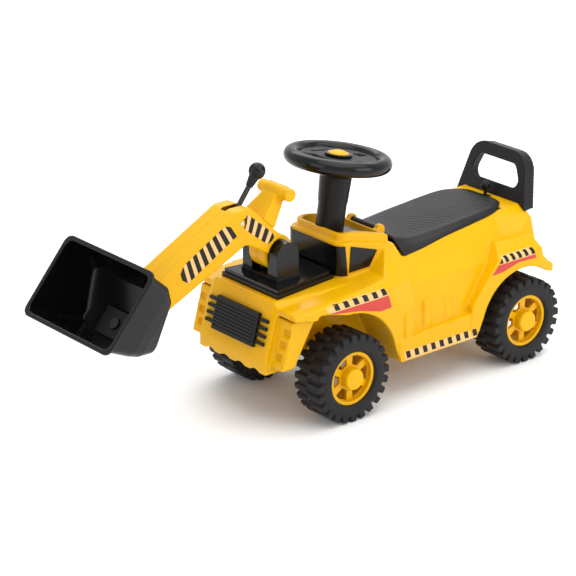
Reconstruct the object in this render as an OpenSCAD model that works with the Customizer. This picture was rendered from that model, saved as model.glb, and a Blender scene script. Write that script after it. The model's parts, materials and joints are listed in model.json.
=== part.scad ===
// Ride-on digger: a push-along toy truck with a lifting boom and a tipping bucket.
// Millimetres. +X is forward, +Y is the driver's left, +Z is up, and the tyres stand on z = 0.
// The origin is on the floor, half way along the whole length.

/* [Wheels] */
// Outer radius of a tyre over its lugs
tyre_r = 70; // [64:1:74]
// Width of a tyre
tyre_w = 60; // [52:1:62]
// Radius of the yellow rim, which is the bore of the tyre
rim_r = 42; // [38:1:46]
// Height of the tread lugs
lug_h = 4; // [2:0.5:6]
// Lugs round one shoulder of a tyre
lug_count = 24; // [16:1:30]
// Distance from the middle plane to a tyre's outer face
tyre_out_y = 136; // [134:1:142]
// Distance between the front and rear axles
wheelbase = 361; // [345:1:440]
// Radius of the steel axles
axle_r = 4; // [3:0.5:5]
// Gap between a turning part and its shaft
running_gap = 0.05; // [0.03:0.01:0.1]

/* [Body] */
// Wall of the moulded body
wall = 3; // [2:0.5:4]
// Height of the bottom edge of the skirt
skirt_z = 63; // [58:1:70]
// Height of the top of the hood
hood_z = 200; // [192:1:206]
// Half width of the front face
face_hw = 80; // [74:1:86]
// Half width over the fenders
fender_hw = 122; // [116:1:128]
// Half width over the headlight wings
wing_hw = 110; // [100:1:114]
// Half width of the skirt between the wheels
skirt_hw = 114; // [108:1:118]
// Half width of the cab
cab_hw = 63; // [56:1:68]
// Height of the cab's top rim
cab_z = 268; // [262:1:276]
// Radius of the front wheel arches about the axle
front_arch_r = 99; // [92:1:104]
// Radius of the rear wheel arches about the axle
rear_arch_r = 87; // [83:1:90]
// Half distance between the inner walls of the wheel wells
well_hw = 50; // [46:1:52]
// Distance of the body's rear end behind the rear axle
tail_reach = 66; // [62:1:76]

/* [Seat] */
// Height of the seat's hinge bar
hinge_z = 249; // [246:1:254]
// Distance of the hinge bar ahead of the rear axle
hinge_dx = 224; // [200:1:240]
// Radius of the hinge bar
hinge_r = 5; // [4:0.5:6]
// Half length of the hinge bar between its lugs
hinge_hw = 28; // [24:1:34]
// Thickness of the seat lid
lid_t = 3.5; // [3:0.5:5]
// Depth of the storage box
box_depth = 98; // [80:1:100]
// Half width of the backrest at its base
back_hw = 81; // [74:1:82]
// Height of the backrest over its base
back_h = 93; // [80:1:110]
// Thickness of the backrest, front to back
back_t = 22; // [18:1:24]
// Angle by which the backrest leans back
back_lean = 13; // [8:1:16]

/* [Steering] */
// Outer radius of the steering wheel
wheel_r = 83.5; // [75:0.5:90]
// Radius of the steering wheel's rim section
wheel_tube_r = 12; // [10:0.5:13]
// Height of the middle of the steering wheel
wheel_z = 366; // [360:1:380]
// Angle by which the column leans back
column_lean = 9; // [6:1:11]
// Radius of the lower column sleeve
column_r = 22; // [18:1:24]
// Radius of the steering crank
crank_r = 20; // [16:1:22]
// Half distance between the kingpins
kingpin_y = 62; // [60:1:64]
// Radius of a kingpin
kingpin_r = 3; // [2.5:0.5:4]

/* [Boom] */
// Half width of the boom
boom_hw = 27; // [24:1:30]
// Wall of the boom's two halves
boom_wall = 2.5; // [2:0.5:3.5]
// Height of the boom's pivot
pivot_z = 252; // [248:1:258]
// Distance of the boom's pivot ahead of the front axle
pivot_dx = 50.4; // [46:0.2:56]
// Reach of the boom from its pivot to the bucket's pin
boom_reach = 233; // [215:1:280]
// Drop of the bucket's pin below the boom's pivot
boom_drop = 22; // [14:1:30]
// Radius of the boom's front end
nose_r = 24.4; // [23:0.2:27]
// Radius of the boom's pivot pin
pivot_r = 6; // [5:0.5:7]
// Radius of the bucket's pin
bucket_pin_r = 5; // [4:0.5:6]
// Length of the two parallel cranks of the bucket linkage
link_r = 14; // [12:0.5:14.5]
// Half width of the boom's foot between the cheeks
foot_hw = 18.5; // [14:0.5:20]
// Gap between faces that slide past each other
side_gap = 0.4; // [0.3:0.1:0.8]

/* [Bucket] */
// Half width of the bucket's mouth
mouth_hw = 107.5; // [90:0.5:112]
// Height of the bucket's mouth
mouth_h = 134; // [120:1:145]
// Depth of the bucket behind its mouth
bucket_depth = 88; // [80:1:90]
// Wall of the bucket
bucket_wall = 3; // [2:0.5:4]
// Angle of the mouth's normal above level
mouth_tilt = 40.2; // [36:0.2:45]

/* [Hidden] */
$fn = 48;
yellow = [0.97, 0.78, 0.02];
black = [0.13, 0.13, 0.14];
grey = [0.45, 0.46, 0.47];
steel = [0.7, 0.71, 0.73];
rubber = [0.1, 0.1, 0.1];
tiny = 0.01;
slice_t = 1;

// Bucket linkage: distances from the bucket's pin to the middle of the mouth, along the
// mouth's normal and up its face.
mouth_out = bucket_depth + 10;
mouth_up = -38;
bucket_lip_dx = mouth_out * cos(mouth_tilt) - (mouth_up - mouth_h / 2) * sin(mouth_tilt);

// Places along the length
back_top_x = 41 + back_h * sin(back_lean) + back_t * cos(back_lean);
rear_reach = wheelbase + max(tail_reach, back_top_x);
front_reach = pivot_dx + boom_reach + bucket_lip_dx;
front_x = (rear_reach - front_reach) / 2;
rear_x = front_x - wheelbase;
tail_x = rear_x - tail_reach;
lip_z = tyre_r + front_arch_r + 10;
recess_size = 12;
recess_depth = 2;
recess_pitch = 19;
flute_w = 17;
flute_pitch = 46;
pivot_x = front_x + pivot_dx;
pin_x = pivot_x + boom_reach;
pin_z = pivot_z - boom_drop;
lever_x = pivot_x + 73;
lever_z = pivot_z + 64;
hinge_x = rear_x + hinge_dx;

// Wheels
wheel_mid_y = tyre_out_y - tyre_w / 2;
rim_face = tyre_w / 2 - 5.5;
disc_t = 5;
disc_top = rim_face - 7;
boss_r = 10;
boss_in = -tyre_w / 2 + 10;
cap_r = 0.4 * rim_r;
cap_top = tyre_w / 2 + 2;
nut_t = 3;
axle_end_y = wheel_mid_y + disc_top + nut_t + 5;
sleeve_end_y = wheel_mid_y + boss_in - side_gap;
sleeve_r = axle_r + 4;

// Front face leans, its top edge being further back than its bottom edge
face_top_x = front_x + 100;
face_bottom_x = front_x + 126;
face_bottom_z = 92;
face_knee_z = 110;
face_lean = atan((face_bottom_x - face_top_x) / (hood_z - face_knee_z));
cab_front_x = front_x - 33;
cab_rear_x = front_x - 126;
ledge_z = cab_z - 12;
well_floor_z = ledge_z - 14;

// Seat sections from front to rear: place ahead of the rear axle, height of the middle,
// then the crown edge and the skirt edge as half width and height.
seat_sections = [
    [hinge_dx - 10, 243, 52, 239, 79, 215],
    [hinge_dx - 48, 236, 56, 232, 78, 219],
    [hinge_dx - 103, 239, 60, 235, 74, 226],
    [hinge_dx - 163, 243, 61, 240, 70, 231],
    [hinge_dx - 213, 246, 58, 243, 65, 236],
    [hinge_dx - 251, 243, 36, 242, 42, 238.6]
];
seat_front_x = rear_x + seat_sections[0][0];
seat_rear_x = rear_x + seat_sections[5][0];
deck_z = 213;
deck_front_x = front_x - 112;
deck_front_z = 238;
deck_rear_x = hinge_x - 1;
deck_rear_z = 236;
recess_hw = 58;
box_hw = well_hw - wall - 1;
box_front_x = seat_front_x - 22;
box_rear_x = seat_rear_x + 30;
back_x = rear_x - 41;
back_base_z = 226;
strip_z = 238;

// Steering
wheel_x = front_x - 81.6;
tie_z = 83.3;
tie_t = 4;
ball_r = 2.45;
bush_r = 15;
sleeve_low = -123;
sleeve_top = -66;
crank_drop = (wheel_z - tie_z - tie_t - 5.5) / cos(column_lean);
bearing_low = -crank_drop + 3 + side_gap + 0.2;
crank_x = column_x(tie_z + tie_t / 2) - crank_r * cos(column_lean);
arm_len = front_x - crank_x;
beam_hx = 12;
beam_low_z = 43;
beam_high_z = 97;
beam_t = 5;
spine_z = 104;
spine_hw = well_hw - wall;

// Boom
leg_drop = lever_z - pin_z;
leg_run = pin_x - lever_x;
leg_angle = atan(leg_drop / leg_run);
foot_r = 27.5;
heel = [-17.5, 13];
knee_back = [56, 83];
grip_at = [-12, 90.4];
grip_lean = atan((knee_back[1] - heel[1]) / (knee_back[0] - heel[0]));
grip_len = (grip_at[1] - heel[1]) * cos(grip_lean) - (grip_at[0] - heel[0]) * sin(grip_lean);
cheek_clear_r = 25;
cheek_out = 41;
cheek_r = 21;
clevis_base = 6;
plinth_t = 13;
eye_r = 6;

// Where the column's axis crosses a height
function column_x(z) = wheel_x + (wheel_z - z) * tan(column_lean);

// ---------- shared shapes ----------

module both_sides() {
    children();
    mirror([0, 1, 0]) children();
}

// A side-view outline in X and Z, made solid from y0 to y1
module side_slab(y0, y1) {
    translate([0, y1, 0]) rotate([90, 0, 0]) linear_extrude(y1 - y0) children();
}

module rod_y(r, y0, y1, x, z) {
    translate([x, y1, z]) rotate([90, 0, 0]) cylinder(r = r, h = y1 - y0);
}

module box(x0, x1, y0, y1, z0, z1) {
    translate([x0, y0, z0]) cube([x1 - x0, y1 - y0, z1 - z0]);
}

// Stands a wheel piece on its axle, its local Z pointing away from the truck
module at_wheel(x, side) {
    translate([x, side * wheel_mid_y, tyre_r]) rotate([-90 * side, 0, 0]) children();
}

// Steering column frame: local origin at the middle of the wheel, local Z up the column
module at_column() {
    translate([wheel_x, 0, wheel_z]) rotate([0, -column_lean, 0]) children();
}

// Mouth frame: local origin at the bucket's pin, local X out of the mouth, local Z up its face
module at_bucket() {
    translate([pin_x, 0, pin_z]) rotate([0, -mouth_tilt, 0]) children();
}

// One slice of a symmetric body, from a list of half-width and height points, top to bottom
module slice(x, half) {
    count = len(half);
    mirrored = [for (i = [count - 1:-1:0]) if (half[i][0] > 0) [-half[i][0], half[i][1]]];
    translate([x, 0, 0]) rotate([90, 0, 90]) linear_extrude(slice_t) polygon(concat(half, mirrored));
}

// Skins a row of slices, each being [x, half outline]
module loft(rows) {
    for (i = [0:len(rows) - 2]) {
        hull() {
            slice(rows[i][0], rows[i][1]);
            slice(rows[i + 1][0], rows[i + 1][1]);
        }
    }
}

// ---------- body ----------

// Half-width of the body's side at a distance along it, between the cab and the seat
function side_half(x) = skirt_hw + 5 * (x - deck_rear_x) / (deck_front_x - deck_rear_x);

// Moves each point of a half outline inwards by a distance
function shrink(half, d) = [
    for (i = [0:len(half) - 1])
        [max(0, half[i][0] - d), i >= len(half) - 2 ? half[i][1] - 20 : half[i][1] - d]
];

// The first rows move back by the distance too, so that a leaning front keeps its wall
function shrink_rows(rows, d, fronts = 1) = [
    for (i = [0:len(rows) - 1])
        [rows[i][0] + (i < fronts ? -d : i == len(rows) - 1 ? d : 0), shrink(rows[i][1], d)]
];

hood_rows = [
    [face_bottom_x, [[0, face_knee_z], [face_hw, face_knee_z], [face_hw, face_bottom_z], [0, face_bottom_z]]],
    [face_top_x, [[0, hood_z], [face_hw - 10, hood_z], [face_hw, hood_z - 9], [face_hw, face_bottom_z],
                  [0, face_bottom_z]]],
    [front_x + 30, [[0, hood_z], [face_hw, hood_z], [face_hw, 150], [face_hw, face_bottom_z],
                    [0, face_bottom_z]]],
    [cab_front_x - 40, [[0, hood_z], [face_hw, hood_z], [face_hw + 10, 150], [face_hw + 10, skirt_z],
                        [0, skirt_z]]]
];

fender_rows = [
    [face_top_x, [[0, hood_z - 8], [fender_hw - 22, hood_z - 8], [fender_hw - 3, hood_z - 12],
                  [fender_hw - 3, hood_z - 18], [0, hood_z - 18]]],
    [front_x + 34, [[0, hood_z - 4], [fender_hw - 10, hood_z - 4], [fender_hw, hood_z - 8],
                    [fender_hw, 170], [0, 170]]],
    [front_x - 50, [[0, hood_z], [fender_hw - 10, hood_z], [fender_hw, hood_z - 8], [fender_hw, 120],
                    [0, 120]]],
    [front_x - 93, [[0, hood_z + 6], [fender_hw - 16, hood_z + 4], [fender_hw - 3, hood_z - 12],
                    [skirt_hw + 6, skirt_z], [0, skirt_z]]]
];

mid_rows = [
    [front_x - 80, [[0, hood_z - 4], [fender_hw - 13, hood_z - 4], [fender_hw - 3, hood_z - 14],
                    [skirt_hw + 5, skirt_z], [0, skirt_z]]],
    [deck_front_x, [[0, deck_front_z], [76, deck_front_z - 4], [112, 190], [skirt_hw + 5, 150],
                    [skirt_hw + 5, skirt_z], [0, skirt_z]]],
    [deck_rear_x, [[0, deck_rear_z], [64, deck_rear_z], [104, 190], [skirt_hw, 150], [skirt_hw, skirt_z],
                   [0, skirt_z]]],
    for (i = [0:4])
        [rear_x + seat_sections[i][0] + (i == 0 ? 3 : 0), [
            [0, seat_sections[i][5] - 0.3],
            [seat_sections[i][4], seat_sections[i][5] - 0.3],
            [102, 176],
            [108, 140],
            [skirt_hw, skirt_z],
            [0, skirt_z]
        ]],
    [tail_x + 20, [[0, strip_z], [62, strip_z], [86, back_base_z - 2], [102, 170], [102, 120], [0, 120]]],
    [tail_x + 12, [[0, strip_z - 2], [62, strip_z - 4], [84, back_base_z - 6], [98, 170], [98, 120], [0, 120]]]
];

// Side outline of the rear fender: a slanted front edge, a flat top and a rounded tail lip
function rear_fender_side(d) = [
    [rear_x + rear_arch_r + 22 - d, skirt_z - 1],
    [rear_x + rear_arch_r + 22 - d, 118 - 0.3 * d],
    [rear_x + 39 - d, 202 - d],
    [rear_x - 35 + d, 202 - d],
    [rear_x - 44 + d, 168],
    [rear_x - 56 + d, 156 - d],
    [tail_x + d, 150 - d],
    [tail_x + d, 140],
    [tail_x + 12, skirt_z - 1]
];

// Cross-section of the rear fender: a sloping shoulder over an upright side
function rear_fender_section(d) = [
    [0, 212], [88 - d, 212 - d], [96 - d, 206 - d], [fender_hw + 2 - d, 182 - d], [fender_hw + 2 - d, 100],
    [skirt_hw + 7 - d, skirt_z - 1], [0, skirt_z - 1]
];

module rear_fender(d) {
    intersection() {
        side_slab(-fender_hw - 9, fender_hw + 9) polygon(rear_fender_side(d));
        translate([tail_x - 5, 0, 0]) rotate([90, 0, 90]) linear_extrude(rear_arch_r + tail_reach + 40) {
            polygon(rear_fender_section(d));
            mirror([1, 0]) polygon(rear_fender_section(d));
        }
    }
}

// The cab block under the rim, its front corners rounded
module cab_block(grow, top) {
    hull() {
        for (y = [-1, 1]) {
            translate([cab_front_x - 16 + grow, y * (cab_hw - 16 + grow), hood_z - 20])
                cylinder(r = 16, h = top - hood_z + 20, $fn = 32);
            translate([cab_rear_x, y * (cab_hw + 8 + grow) - 1, hood_z - 20]) cube([2, 2, top - hood_z + 4]);
        }
    }
}

// Outline of a front arch seen from the side
module front_arch_outline(grow) {
    translate([front_x, tyre_r]) circle(r = front_arch_r + grow, $fn = 96);
    polygon([
        [front_x - front_arch_r * 0.94 - grow, tyre_r + 30],
        [front_x - front_arch_r - 12 - grow, skirt_z - 10],
        [front_x, skirt_z - 10]
    ]);
    polygon([
        [front_x, tyre_r + front_arch_r + grow],
        [front_x + 36, lip_z + grow],
        [front_x + 55, lip_z + 2 + grow],
        [front_x + front_arch_r + grow, tyre_r + 35],
        [front_x, tyre_r]
    ]);
}

module rear_arch_outline(grow) {
    translate([rear_x, tyre_r]) circle(r = rear_arch_r + grow, $fn = 96);
    polygon([
        [rear_x + rear_arch_r * 0.97 + grow, tyre_r + 20],
        [rear_x + rear_arch_r + 12 + grow, skirt_z - 10],
        [rear_x, skirt_z - 10]
    ]);
    polygon([
        [rear_x, tyre_r + rear_arch_r * 0.8],
        [rear_x - rear_arch_r * 0.6, tyre_r + rear_arch_r * 0.8 + grow],
        [tail_x - 10, tyre_r + rear_arch_r * 0.72 + grow],
        [tail_x - 10, skirt_z - 10],
        [rear_x, skirt_z - 10]
    ]);
}

module arch_space(grow) {
    both_sides() {
        side_slab(well_hw - grow, fender_hw + 20) front_arch_outline(grow);
        side_slab(well_hw - grow, fender_hw + 20) rear_arch_outline(grow);
    }
}

// The dished deck under the seat lid
module seat_recess(grow) {
    box(seat_rear_x + 14 - grow, seat_front_x - 6 + grow, -recess_hw - grow, recess_hw + grow,
        deck_z - grow, 260);
}

// The open dash well that the column stands in
module dash_well(grow) {
    hull() {
        for (y = [-1, 1]) {
            translate([cab_front_x - 25, y * (cab_hw - 26), well_floor_z - grow])
                cylinder(r = 12 + grow, h = 60, $fn = 32);
            translate([cab_rear_x + 18, y * (cab_hw - 24), well_floor_z - grow])
                cylinder(r = 14 + grow, h = 60, $fn = 32);
        }
    }
}

// Headlight wing beside the front face, with its three square recesses
module wing() {
    difference() {
        side_slab(face_hw - wall, wing_hw) polygon([
            [face_top_x - 1.6, 178],
            [face_bottom_x - 8, 105],
            [front_x + 95, 105],
            [front_x + 52, 178]
        ]);
        side_slab(face_hw - wall - 1, wing_hw - wall) polygon([
            [face_top_x - 1.6 - wall - recess_depth, 175],
            [face_bottom_x - 8.5 - wall - recess_depth, 100],
            [front_x + 92, 100],
            [front_x + 46, 176]
        ]);
    }
}

module wing_recesses() {
    lean = atan((face_bottom_x - 8 - face_top_x + 1.6) / 73);
    for (i = [0:2]) {
        translate([face_top_x - 1.6 + (18 + i * recess_pitch) * tan(lean), face_hw + 21 - i * 4,
                   160 - i * recess_pitch])
            rotate([0, -lean, 0]) cube([2 * recess_depth, recess_size + 4, recess_size], center = true);
    }
}

// Step-like flutes over the skirt, and the skirt's own proud band
module side_relief() {
    for (i = [0:2]) {
        front = deck_front_x - 1 - i * flute_pitch;
        side_slab(-side_half(front) - 1.6, side_half(front) + 1.6) {
            translate([front - flute_w / 2, 138 + i * 4]) circle(r = flute_w / 2);
            polygon([[front, 138 + i * 4], [front - flute_w, 138 + i * 4], [front - flute_w, 80], [front, 80]]);
        }
    }
    side_slab(-side_half(deck_front_x) - 2, side_half(deck_front_x) + 2) polygon([
        [deck_front_x + 8, skirt_z - 1],
        [deck_front_x + 8, 97],
        [deck_rear_x - 20, 104],
        [rear_x + rear_arch_r + 24, 106],
        [rear_x + rear_arch_r + 24, skirt_z - 1]
    ]);
}

module body_outer() {
    loft(hood_rows);
    loft(fender_rows);
    loft(mid_rows);
    rear_fender(0);
    side_relief();
    cab_block(0, ledge_z);
    cab_block(-6, cab_z);
}

module body_inner() {
    loft(shrink_rows(hood_rows, wall, 2));
    loft(shrink_rows(fender_rows, wall));
    loft(shrink_rows(mid_rows, wall));
    rear_fender(wall);
    cab_block(-wall, ledge_z - wall);
}

// Rounded yellow ears that carry the seat's hinge bar
module hinge_lugs() {
    both_sides() {
        hull() {
            rod_y(8.6, hinge_hw + side_gap, hinge_hw + 9, hinge_x, hinge_z);
            box(hinge_x - 7, hinge_x + 12, hinge_hw + side_gap, hinge_hw + 9, 226, 228);
        }
    }
}

tray_posts = [[front_x + 36, 30], [front_x + 36, -30], [rear_x - 38, 30], [rear_x - 38, -30]];
post_r = 6;

module body_shell() {
    color(yellow) difference() {
        union() {
            difference() {
                body_outer();
                difference() {
                    body_inner();
                    arch_space(wall);
                    seat_recess(wall);
                    dash_well(wall);
                    at_column() translate([0, 0, sleeve_low - 12]) cylinder(r = column_r + 3, h = 30);
                    for (p = tray_posts) {
                        translate([p[0], p[1], spine_z + wall]) cylinder(r = post_r, h = 150);
                    }
                }
                arch_space(0);
                seat_recess(0);
                dash_well(0);
            }
            both_sides() wing();
            hinge_lugs();
        }
        both_sides() wing_recesses();
        // Scalloped lower edge of the face
        for (y = [-54, -18, 18, 54]) {
            translate([face_bottom_x - 40, y, face_bottom_z - 14]) rotate([0, 90, 0]) cylinder(r = 18, h = 80, $fn = 48);
        }
        // Three short grooves on the shoulder of each rear fender
        both_sides() for (i = [0:2]) {
            translate([rear_x + 30 - i * 15, 104.4, 201.7]) rotate([49.4, 0, 0]) {
                cylinder(r = 3.5, h = 18, center = true, $fn = 20);
                translate([0, 0, 9]) sphere(r = 3.5, $fn = 20);
                translate([0, 0, -9]) sphere(r = 3.5, $fn = 20);
            }
        }
        rod_y(hinge_r - 0.9, -hinge_hw - 6, hinge_hw + 6, hinge_x, hinge_z, $fn = 64);
        // Opening for the storage box
        box(box_rear_x - 0.3, box_front_x + 0.3, -box_hw - 0.3, box_hw + 0.3, deck_z - 30, deck_z + 1);
        // Windows for the front beam and the tie rod, and slots for the rear axle's sleeves
        box(crank_x - 24, front_x + beam_hx + 6, -fender_hw, fender_hw, 0, spine_z - 1);
        box(rear_x - sleeve_r - 0.5, rear_x + sleeve_r + 0.5, -well_hw - 2, well_hw + 2, 0, tyre_r + sleeve_r + 0.5);
        // The column's bush and rod come through the floor of the dash well
        at_column() translate([0, 0, sleeve_low - 60]) cylinder(r = bush_r + 0.2, h = 80);
        at_column() translate([0, 0, sleeve_low]) cylinder(r = column_r + 0.4, h = 60);
        // Seat tab's notch
        box(back_x - 1, seat_rear_x + 16, -4.5, 4.5, strip_z - 4, strip_z + 5);
        // The floor line is level all along
        box(tail_x - 50, face_bottom_x + 50, -200, 200, -50, skirt_z);
        // Screw holes in the posts
        for (p = tray_posts) {
            translate([p[0], p[1], spine_z]) cylinder(r = 2.05, h = 18, $fn = 24);
        }
    }
}

// ---------- running gear ----------

module under_tray() {
    color(yellow) difference() {
        union() {
            box(rear_x - 52, front_x + 48, -spine_hw, spine_hw, spine_z, spine_z + wall);
            // Bearing blocks and spacer sleeves of the rear axle
            both_sides() {
                box(rear_x - 10, rear_x + 10, spine_hw - 14, spine_hw, tyre_r - 11, spine_z + 1);
                rod_y(sleeve_r, spine_hw - 14, sleeve_end_y, rear_x, tyre_r);
                box(rear_x - 52, front_x + 48, spine_hw - 5, spine_hw - 2, spine_z - 6, spine_z + 1);
            }
            // Four feet hold the front beam
            for (x = [-8, 8], y = [-30, 30]) {
                translate([front_x + x, y, beam_high_z]) cylinder(r = 4, h = spine_z - beam_high_z + 1);
            }
            // Lower bearing of the steering rod
            at_column() translate([0, 0, bearing_low]) cylinder(r = 10, h = -252 - bearing_low);
        }
        rod_y(axle_r, -200, 200, rear_x, tyre_r);
        at_column() translate([0, 0, -300]) cylinder(r = axle_r + running_gap, h = 90);
        for (p = tray_posts) {
            translate([p[0], p[1], spine_z - 1]) cylinder(r = 2.2, h = 10);
        }
    }
}

module tray_screws() {
    color(steel) for (p = tray_posts) {
        translate([p[0], p[1], spine_z - 2.5]) {
            difference() {
                cylinder(r = 4, h = 2.5);
                translate([-2.5, -0.5, -1]) cube([5, 1, 2]);
                translate([-0.5, -2.5, -1]) cube([1, 5, 2]);
            }
            cylinder(r = 1.9, h = 18);
        }
    }
}

module front_beam() {
    color(black) difference() {
        union() {
            box(front_x - beam_hx, front_x + beam_hx, -kingpin_y, kingpin_y, beam_low_z, beam_low_z + beam_t);
            box(front_x - beam_hx, front_x + beam_hx, -kingpin_y, kingpin_y, beam_high_z - beam_t, beam_high_z);
            both_sides() {
                translate([front_x, kingpin_y, beam_low_z]) cylinder(r = 9, h = beam_t);
                translate([front_x, kingpin_y, beam_high_z - beam_t]) cylinder(r = 9, h = beam_t);
            }
            for (x = [-beam_hx, beam_hx - 3]) {
                box(front_x + x, front_x + x + 3, -40, 40, beam_low_z, beam_high_z);
            }
        }
        both_sides() {
            translate([front_x, kingpin_y, 0]) cylinder(r = kingpin_r, h = 150);
        }
    }
}

module kingpins() {
    color(steel) both_sides() translate([front_x, kingpin_y, 0]) {
        translate([0, 0, beam_low_z - 3]) cylinder(r = kingpin_r, h = beam_high_z - beam_low_z + 3);
        translate([0, 0, beam_high_z]) cylinder(r = kingpin_r + 2, h = 2);
    }
}

// The left knuckle: a block on the kingpin, a sleeve towards the wheel and a trailing arm
module knuckle() {
    block_low = beam_low_z + beam_t + side_gap;
    block_high = beam_high_z - beam_t - side_gap;
    difference() {
        union() {
            translate([front_x, kingpin_y, block_low]) cylinder(r = 9, h = block_high - block_low);
            rod_y(sleeve_r, kingpin_y, sleeve_end_y, front_x, tyre_r);
            box(front_x - arm_len, front_x, kingpin_y - 6, kingpin_y + 6, tie_z - 5.3, tie_z - 0.3);
            translate([crank_x, kingpin_y, tie_z - 5.3]) cylinder(r = 6, h = 5);
        }
        translate([front_x, kingpin_y, 0]) cylinder(r = kingpin_r + running_gap, h = 150);
        rod_y(axle_r, kingpin_y + kingpin_r + 3, 200, front_x, tyre_r);
        translate([crank_x, kingpin_y, 0]) cylinder(r = ball_r + running_gap, h = 150);
    }
}

module knuckle_left() {
    color(black) knuckle();
}

module knuckle_right() {
    color(black) mirror([0, 1, 0]) knuckle();
}

module stub_axle() {
    rod_y(axle_r, kingpin_y + kingpin_r + 3, axle_end_y, front_x, tyre_r);
    rod_y(axle_r + 4, wheel_mid_y + disc_top + side_gap, wheel_mid_y + disc_top + side_gap + nut_t, front_x, tyre_r);
}

module stub_axle_left() {
    color(steel) stub_axle();
}

module stub_axle_right() {
    color(steel) mirror([0, 1, 0]) stub_axle();
}

module rear_axle() {
    color(steel) rod_y(axle_r, -axle_end_y, axle_end_y, rear_x, tyre_r);
}

module rear_axle_nuts() {
    color(steel) both_sides() difference() {
        rod_y(axle_r + 4, wheel_mid_y + disc_top + side_gap, wheel_mid_y + disc_top + side_gap + nut_t,
              rear_x, tyre_r);
        rod_y(axle_r, 0, 200, rear_x, tyre_r);
    }
}

module tie_rod() {
    slot_r = 3 + 0.7;
    color(steel) difference() {
        union() {
            box(crank_x - 5, crank_x + 5, -kingpin_y, kingpin_y, tie_z, tie_z + tie_t);
            box(crank_x - 9, crank_x + 12, -10, 10, tie_z, tie_z + tie_t);
            both_sides() {
                translate([crank_x, kingpin_y, tie_z]) cylinder(r = 5, h = tie_t);
                translate([crank_x, kingpin_y, tie_z - 6.5]) cylinder(r = ball_r, h = 7);
            }
        }
        // Fore and aft slot that the crank's pin works in
        translate([crank_x - 1.2, 0, 0]) cylinder(r = slot_r, h = 150);
        translate([crank_x + 4.2, 0, 0]) cylinder(r = slot_r, h = 150);
        box(crank_x - 1.2, crank_x + 4.2, -slot_r, slot_r, 0, 150);
    }
}

// ---------- wheels ----------

module tyre_piece() {
    edge = tyre_w / 2;
    tread = tyre_r - lug_h;
    skin = 3;
    color(rubber) difference() {
        union() {
            rotate_extrude($fn = 96) polygon([
                [rim_r, -edge + 4], [rim_r + 3, -edge], [tread - 9, -edge], [tread, -edge + 9],
                [tread, edge - 9], [tread - 9, edge], [rim_r + 3, edge], [rim_r, edge - 4]
            ]);
            intersection() {
                for (i = [0:lug_count - 1]) {
                    rotate([0, 0, i * 360 / lug_count]) translate([tread - 9, -5.5, 1]) cube([30, 11, edge - 2]);
                    rotate([0, 0, (i + 0.5) * 360 / lug_count]) translate([tread - 9, -5.5, 1 - edge]) cube([30, 11, edge - 2]);
                }
                translate([0, 0, -edge]) cylinder(r = tyre_r, h = tyre_w, $fn = 96);
            }
        }
        rotate_extrude($fn = 96) polygon([
            [rim_r + skin, -edge + 5], [rim_r + 5, -edge + skin], [tread - 10, -edge + skin], [tread - skin, -edge + 10],
            [tread - skin, edge - 10], [tread - 10, edge - skin], [rim_r + 5, edge - skin], [rim_r + skin, edge - 5]
        ]);
    }
}

module rim_piece() {
    edge = tyre_w / 2;
    window_in = cap_r + 3;
    window_out = rim_r - 8;
    color(yellow) difference() {
        union() {
            rotate_extrude($fn = 96) polygon([
                [rim_r - 3, -edge + 4], [rim_r, -edge + 4], [rim_r, rim_face], [rim_r - 5, rim_face],
                [rim_r - 5, rim_face - 4], [rim_r - 3, rim_face - 8]
            ]);
            translate([0, 0, disc_top - disc_t]) cylinder(r = rim_r - 1, h = disc_t, $fn = 96);
            translate([0, 0, boss_in]) cylinder(r = boss_r, h = disc_top - boss_in);
        }
        for (i = [0:5]) {
            rotate([0, 0, i * 60]) translate([0, 0, -edge]) linear_extrude(tyre_w) polygon([
                [window_in, -5.5], [window_out, -12.5], [window_out + 2, 0], [window_out, 12.5], [window_in, 5.5]
            ]);
        }
        translate([0, 0, -edge]) cylinder(r = axle_r + running_gap, h = tyre_w);
    }
}

module hub_cap_piece() {
    color(yellow) difference() {
        rotate_extrude() polygon([
            [0, disc_top], [cap_r, disc_top], [cap_r, cap_top - 3], [cap_r - 1, cap_top - 1],
            [cap_r - 4, cap_top], [0, cap_top]
        ]);
        translate([0, 0, disc_top - 1]) cylinder(r = cap_r - 3, h = cap_top - disc_top - 1.5);
    }
}

module tyre_front_left() {
    at_wheel(front_x, 1) tyre_piece();
}

module tyre_front_right() {
    at_wheel(front_x, -1) tyre_piece();
}

module tyre_rear_left() {
    at_wheel(rear_x, 1) tyre_piece();
}

module tyre_rear_right() {
    at_wheel(rear_x, -1) tyre_piece();
}

module rim_front_left() {
    at_wheel(front_x, 1) rim_piece();
}

module rim_front_right() {
    at_wheel(front_x, -1) rim_piece();
}

module rim_rear_left() {
    at_wheel(rear_x, 1) rim_piece();
}

module rim_rear_right() {
    at_wheel(rear_x, -1) rim_piece();
}

module hub_cap_front_left() {
    at_wheel(front_x, 1) hub_cap_piece();
}

module hub_cap_front_right() {
    at_wheel(front_x, -1) hub_cap_piece();
}

module hub_cap_rear_left() {
    at_wheel(rear_x, 1) hub_cap_piece();
}

module hub_cap_rear_right() {
    at_wheel(rear_x, -1) hub_cap_piece();
}

// ---------- trim on the body ----------

// Face frame: local X out of the front face, local Z up it, origin half way up
module at_face() {
    translate([(face_top_x + face_bottom_x) / 2 + slice_t, 0, (hood_z + face_knee_z) / 2])
        rotate([0, -face_lean, 0]) children();
}

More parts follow.
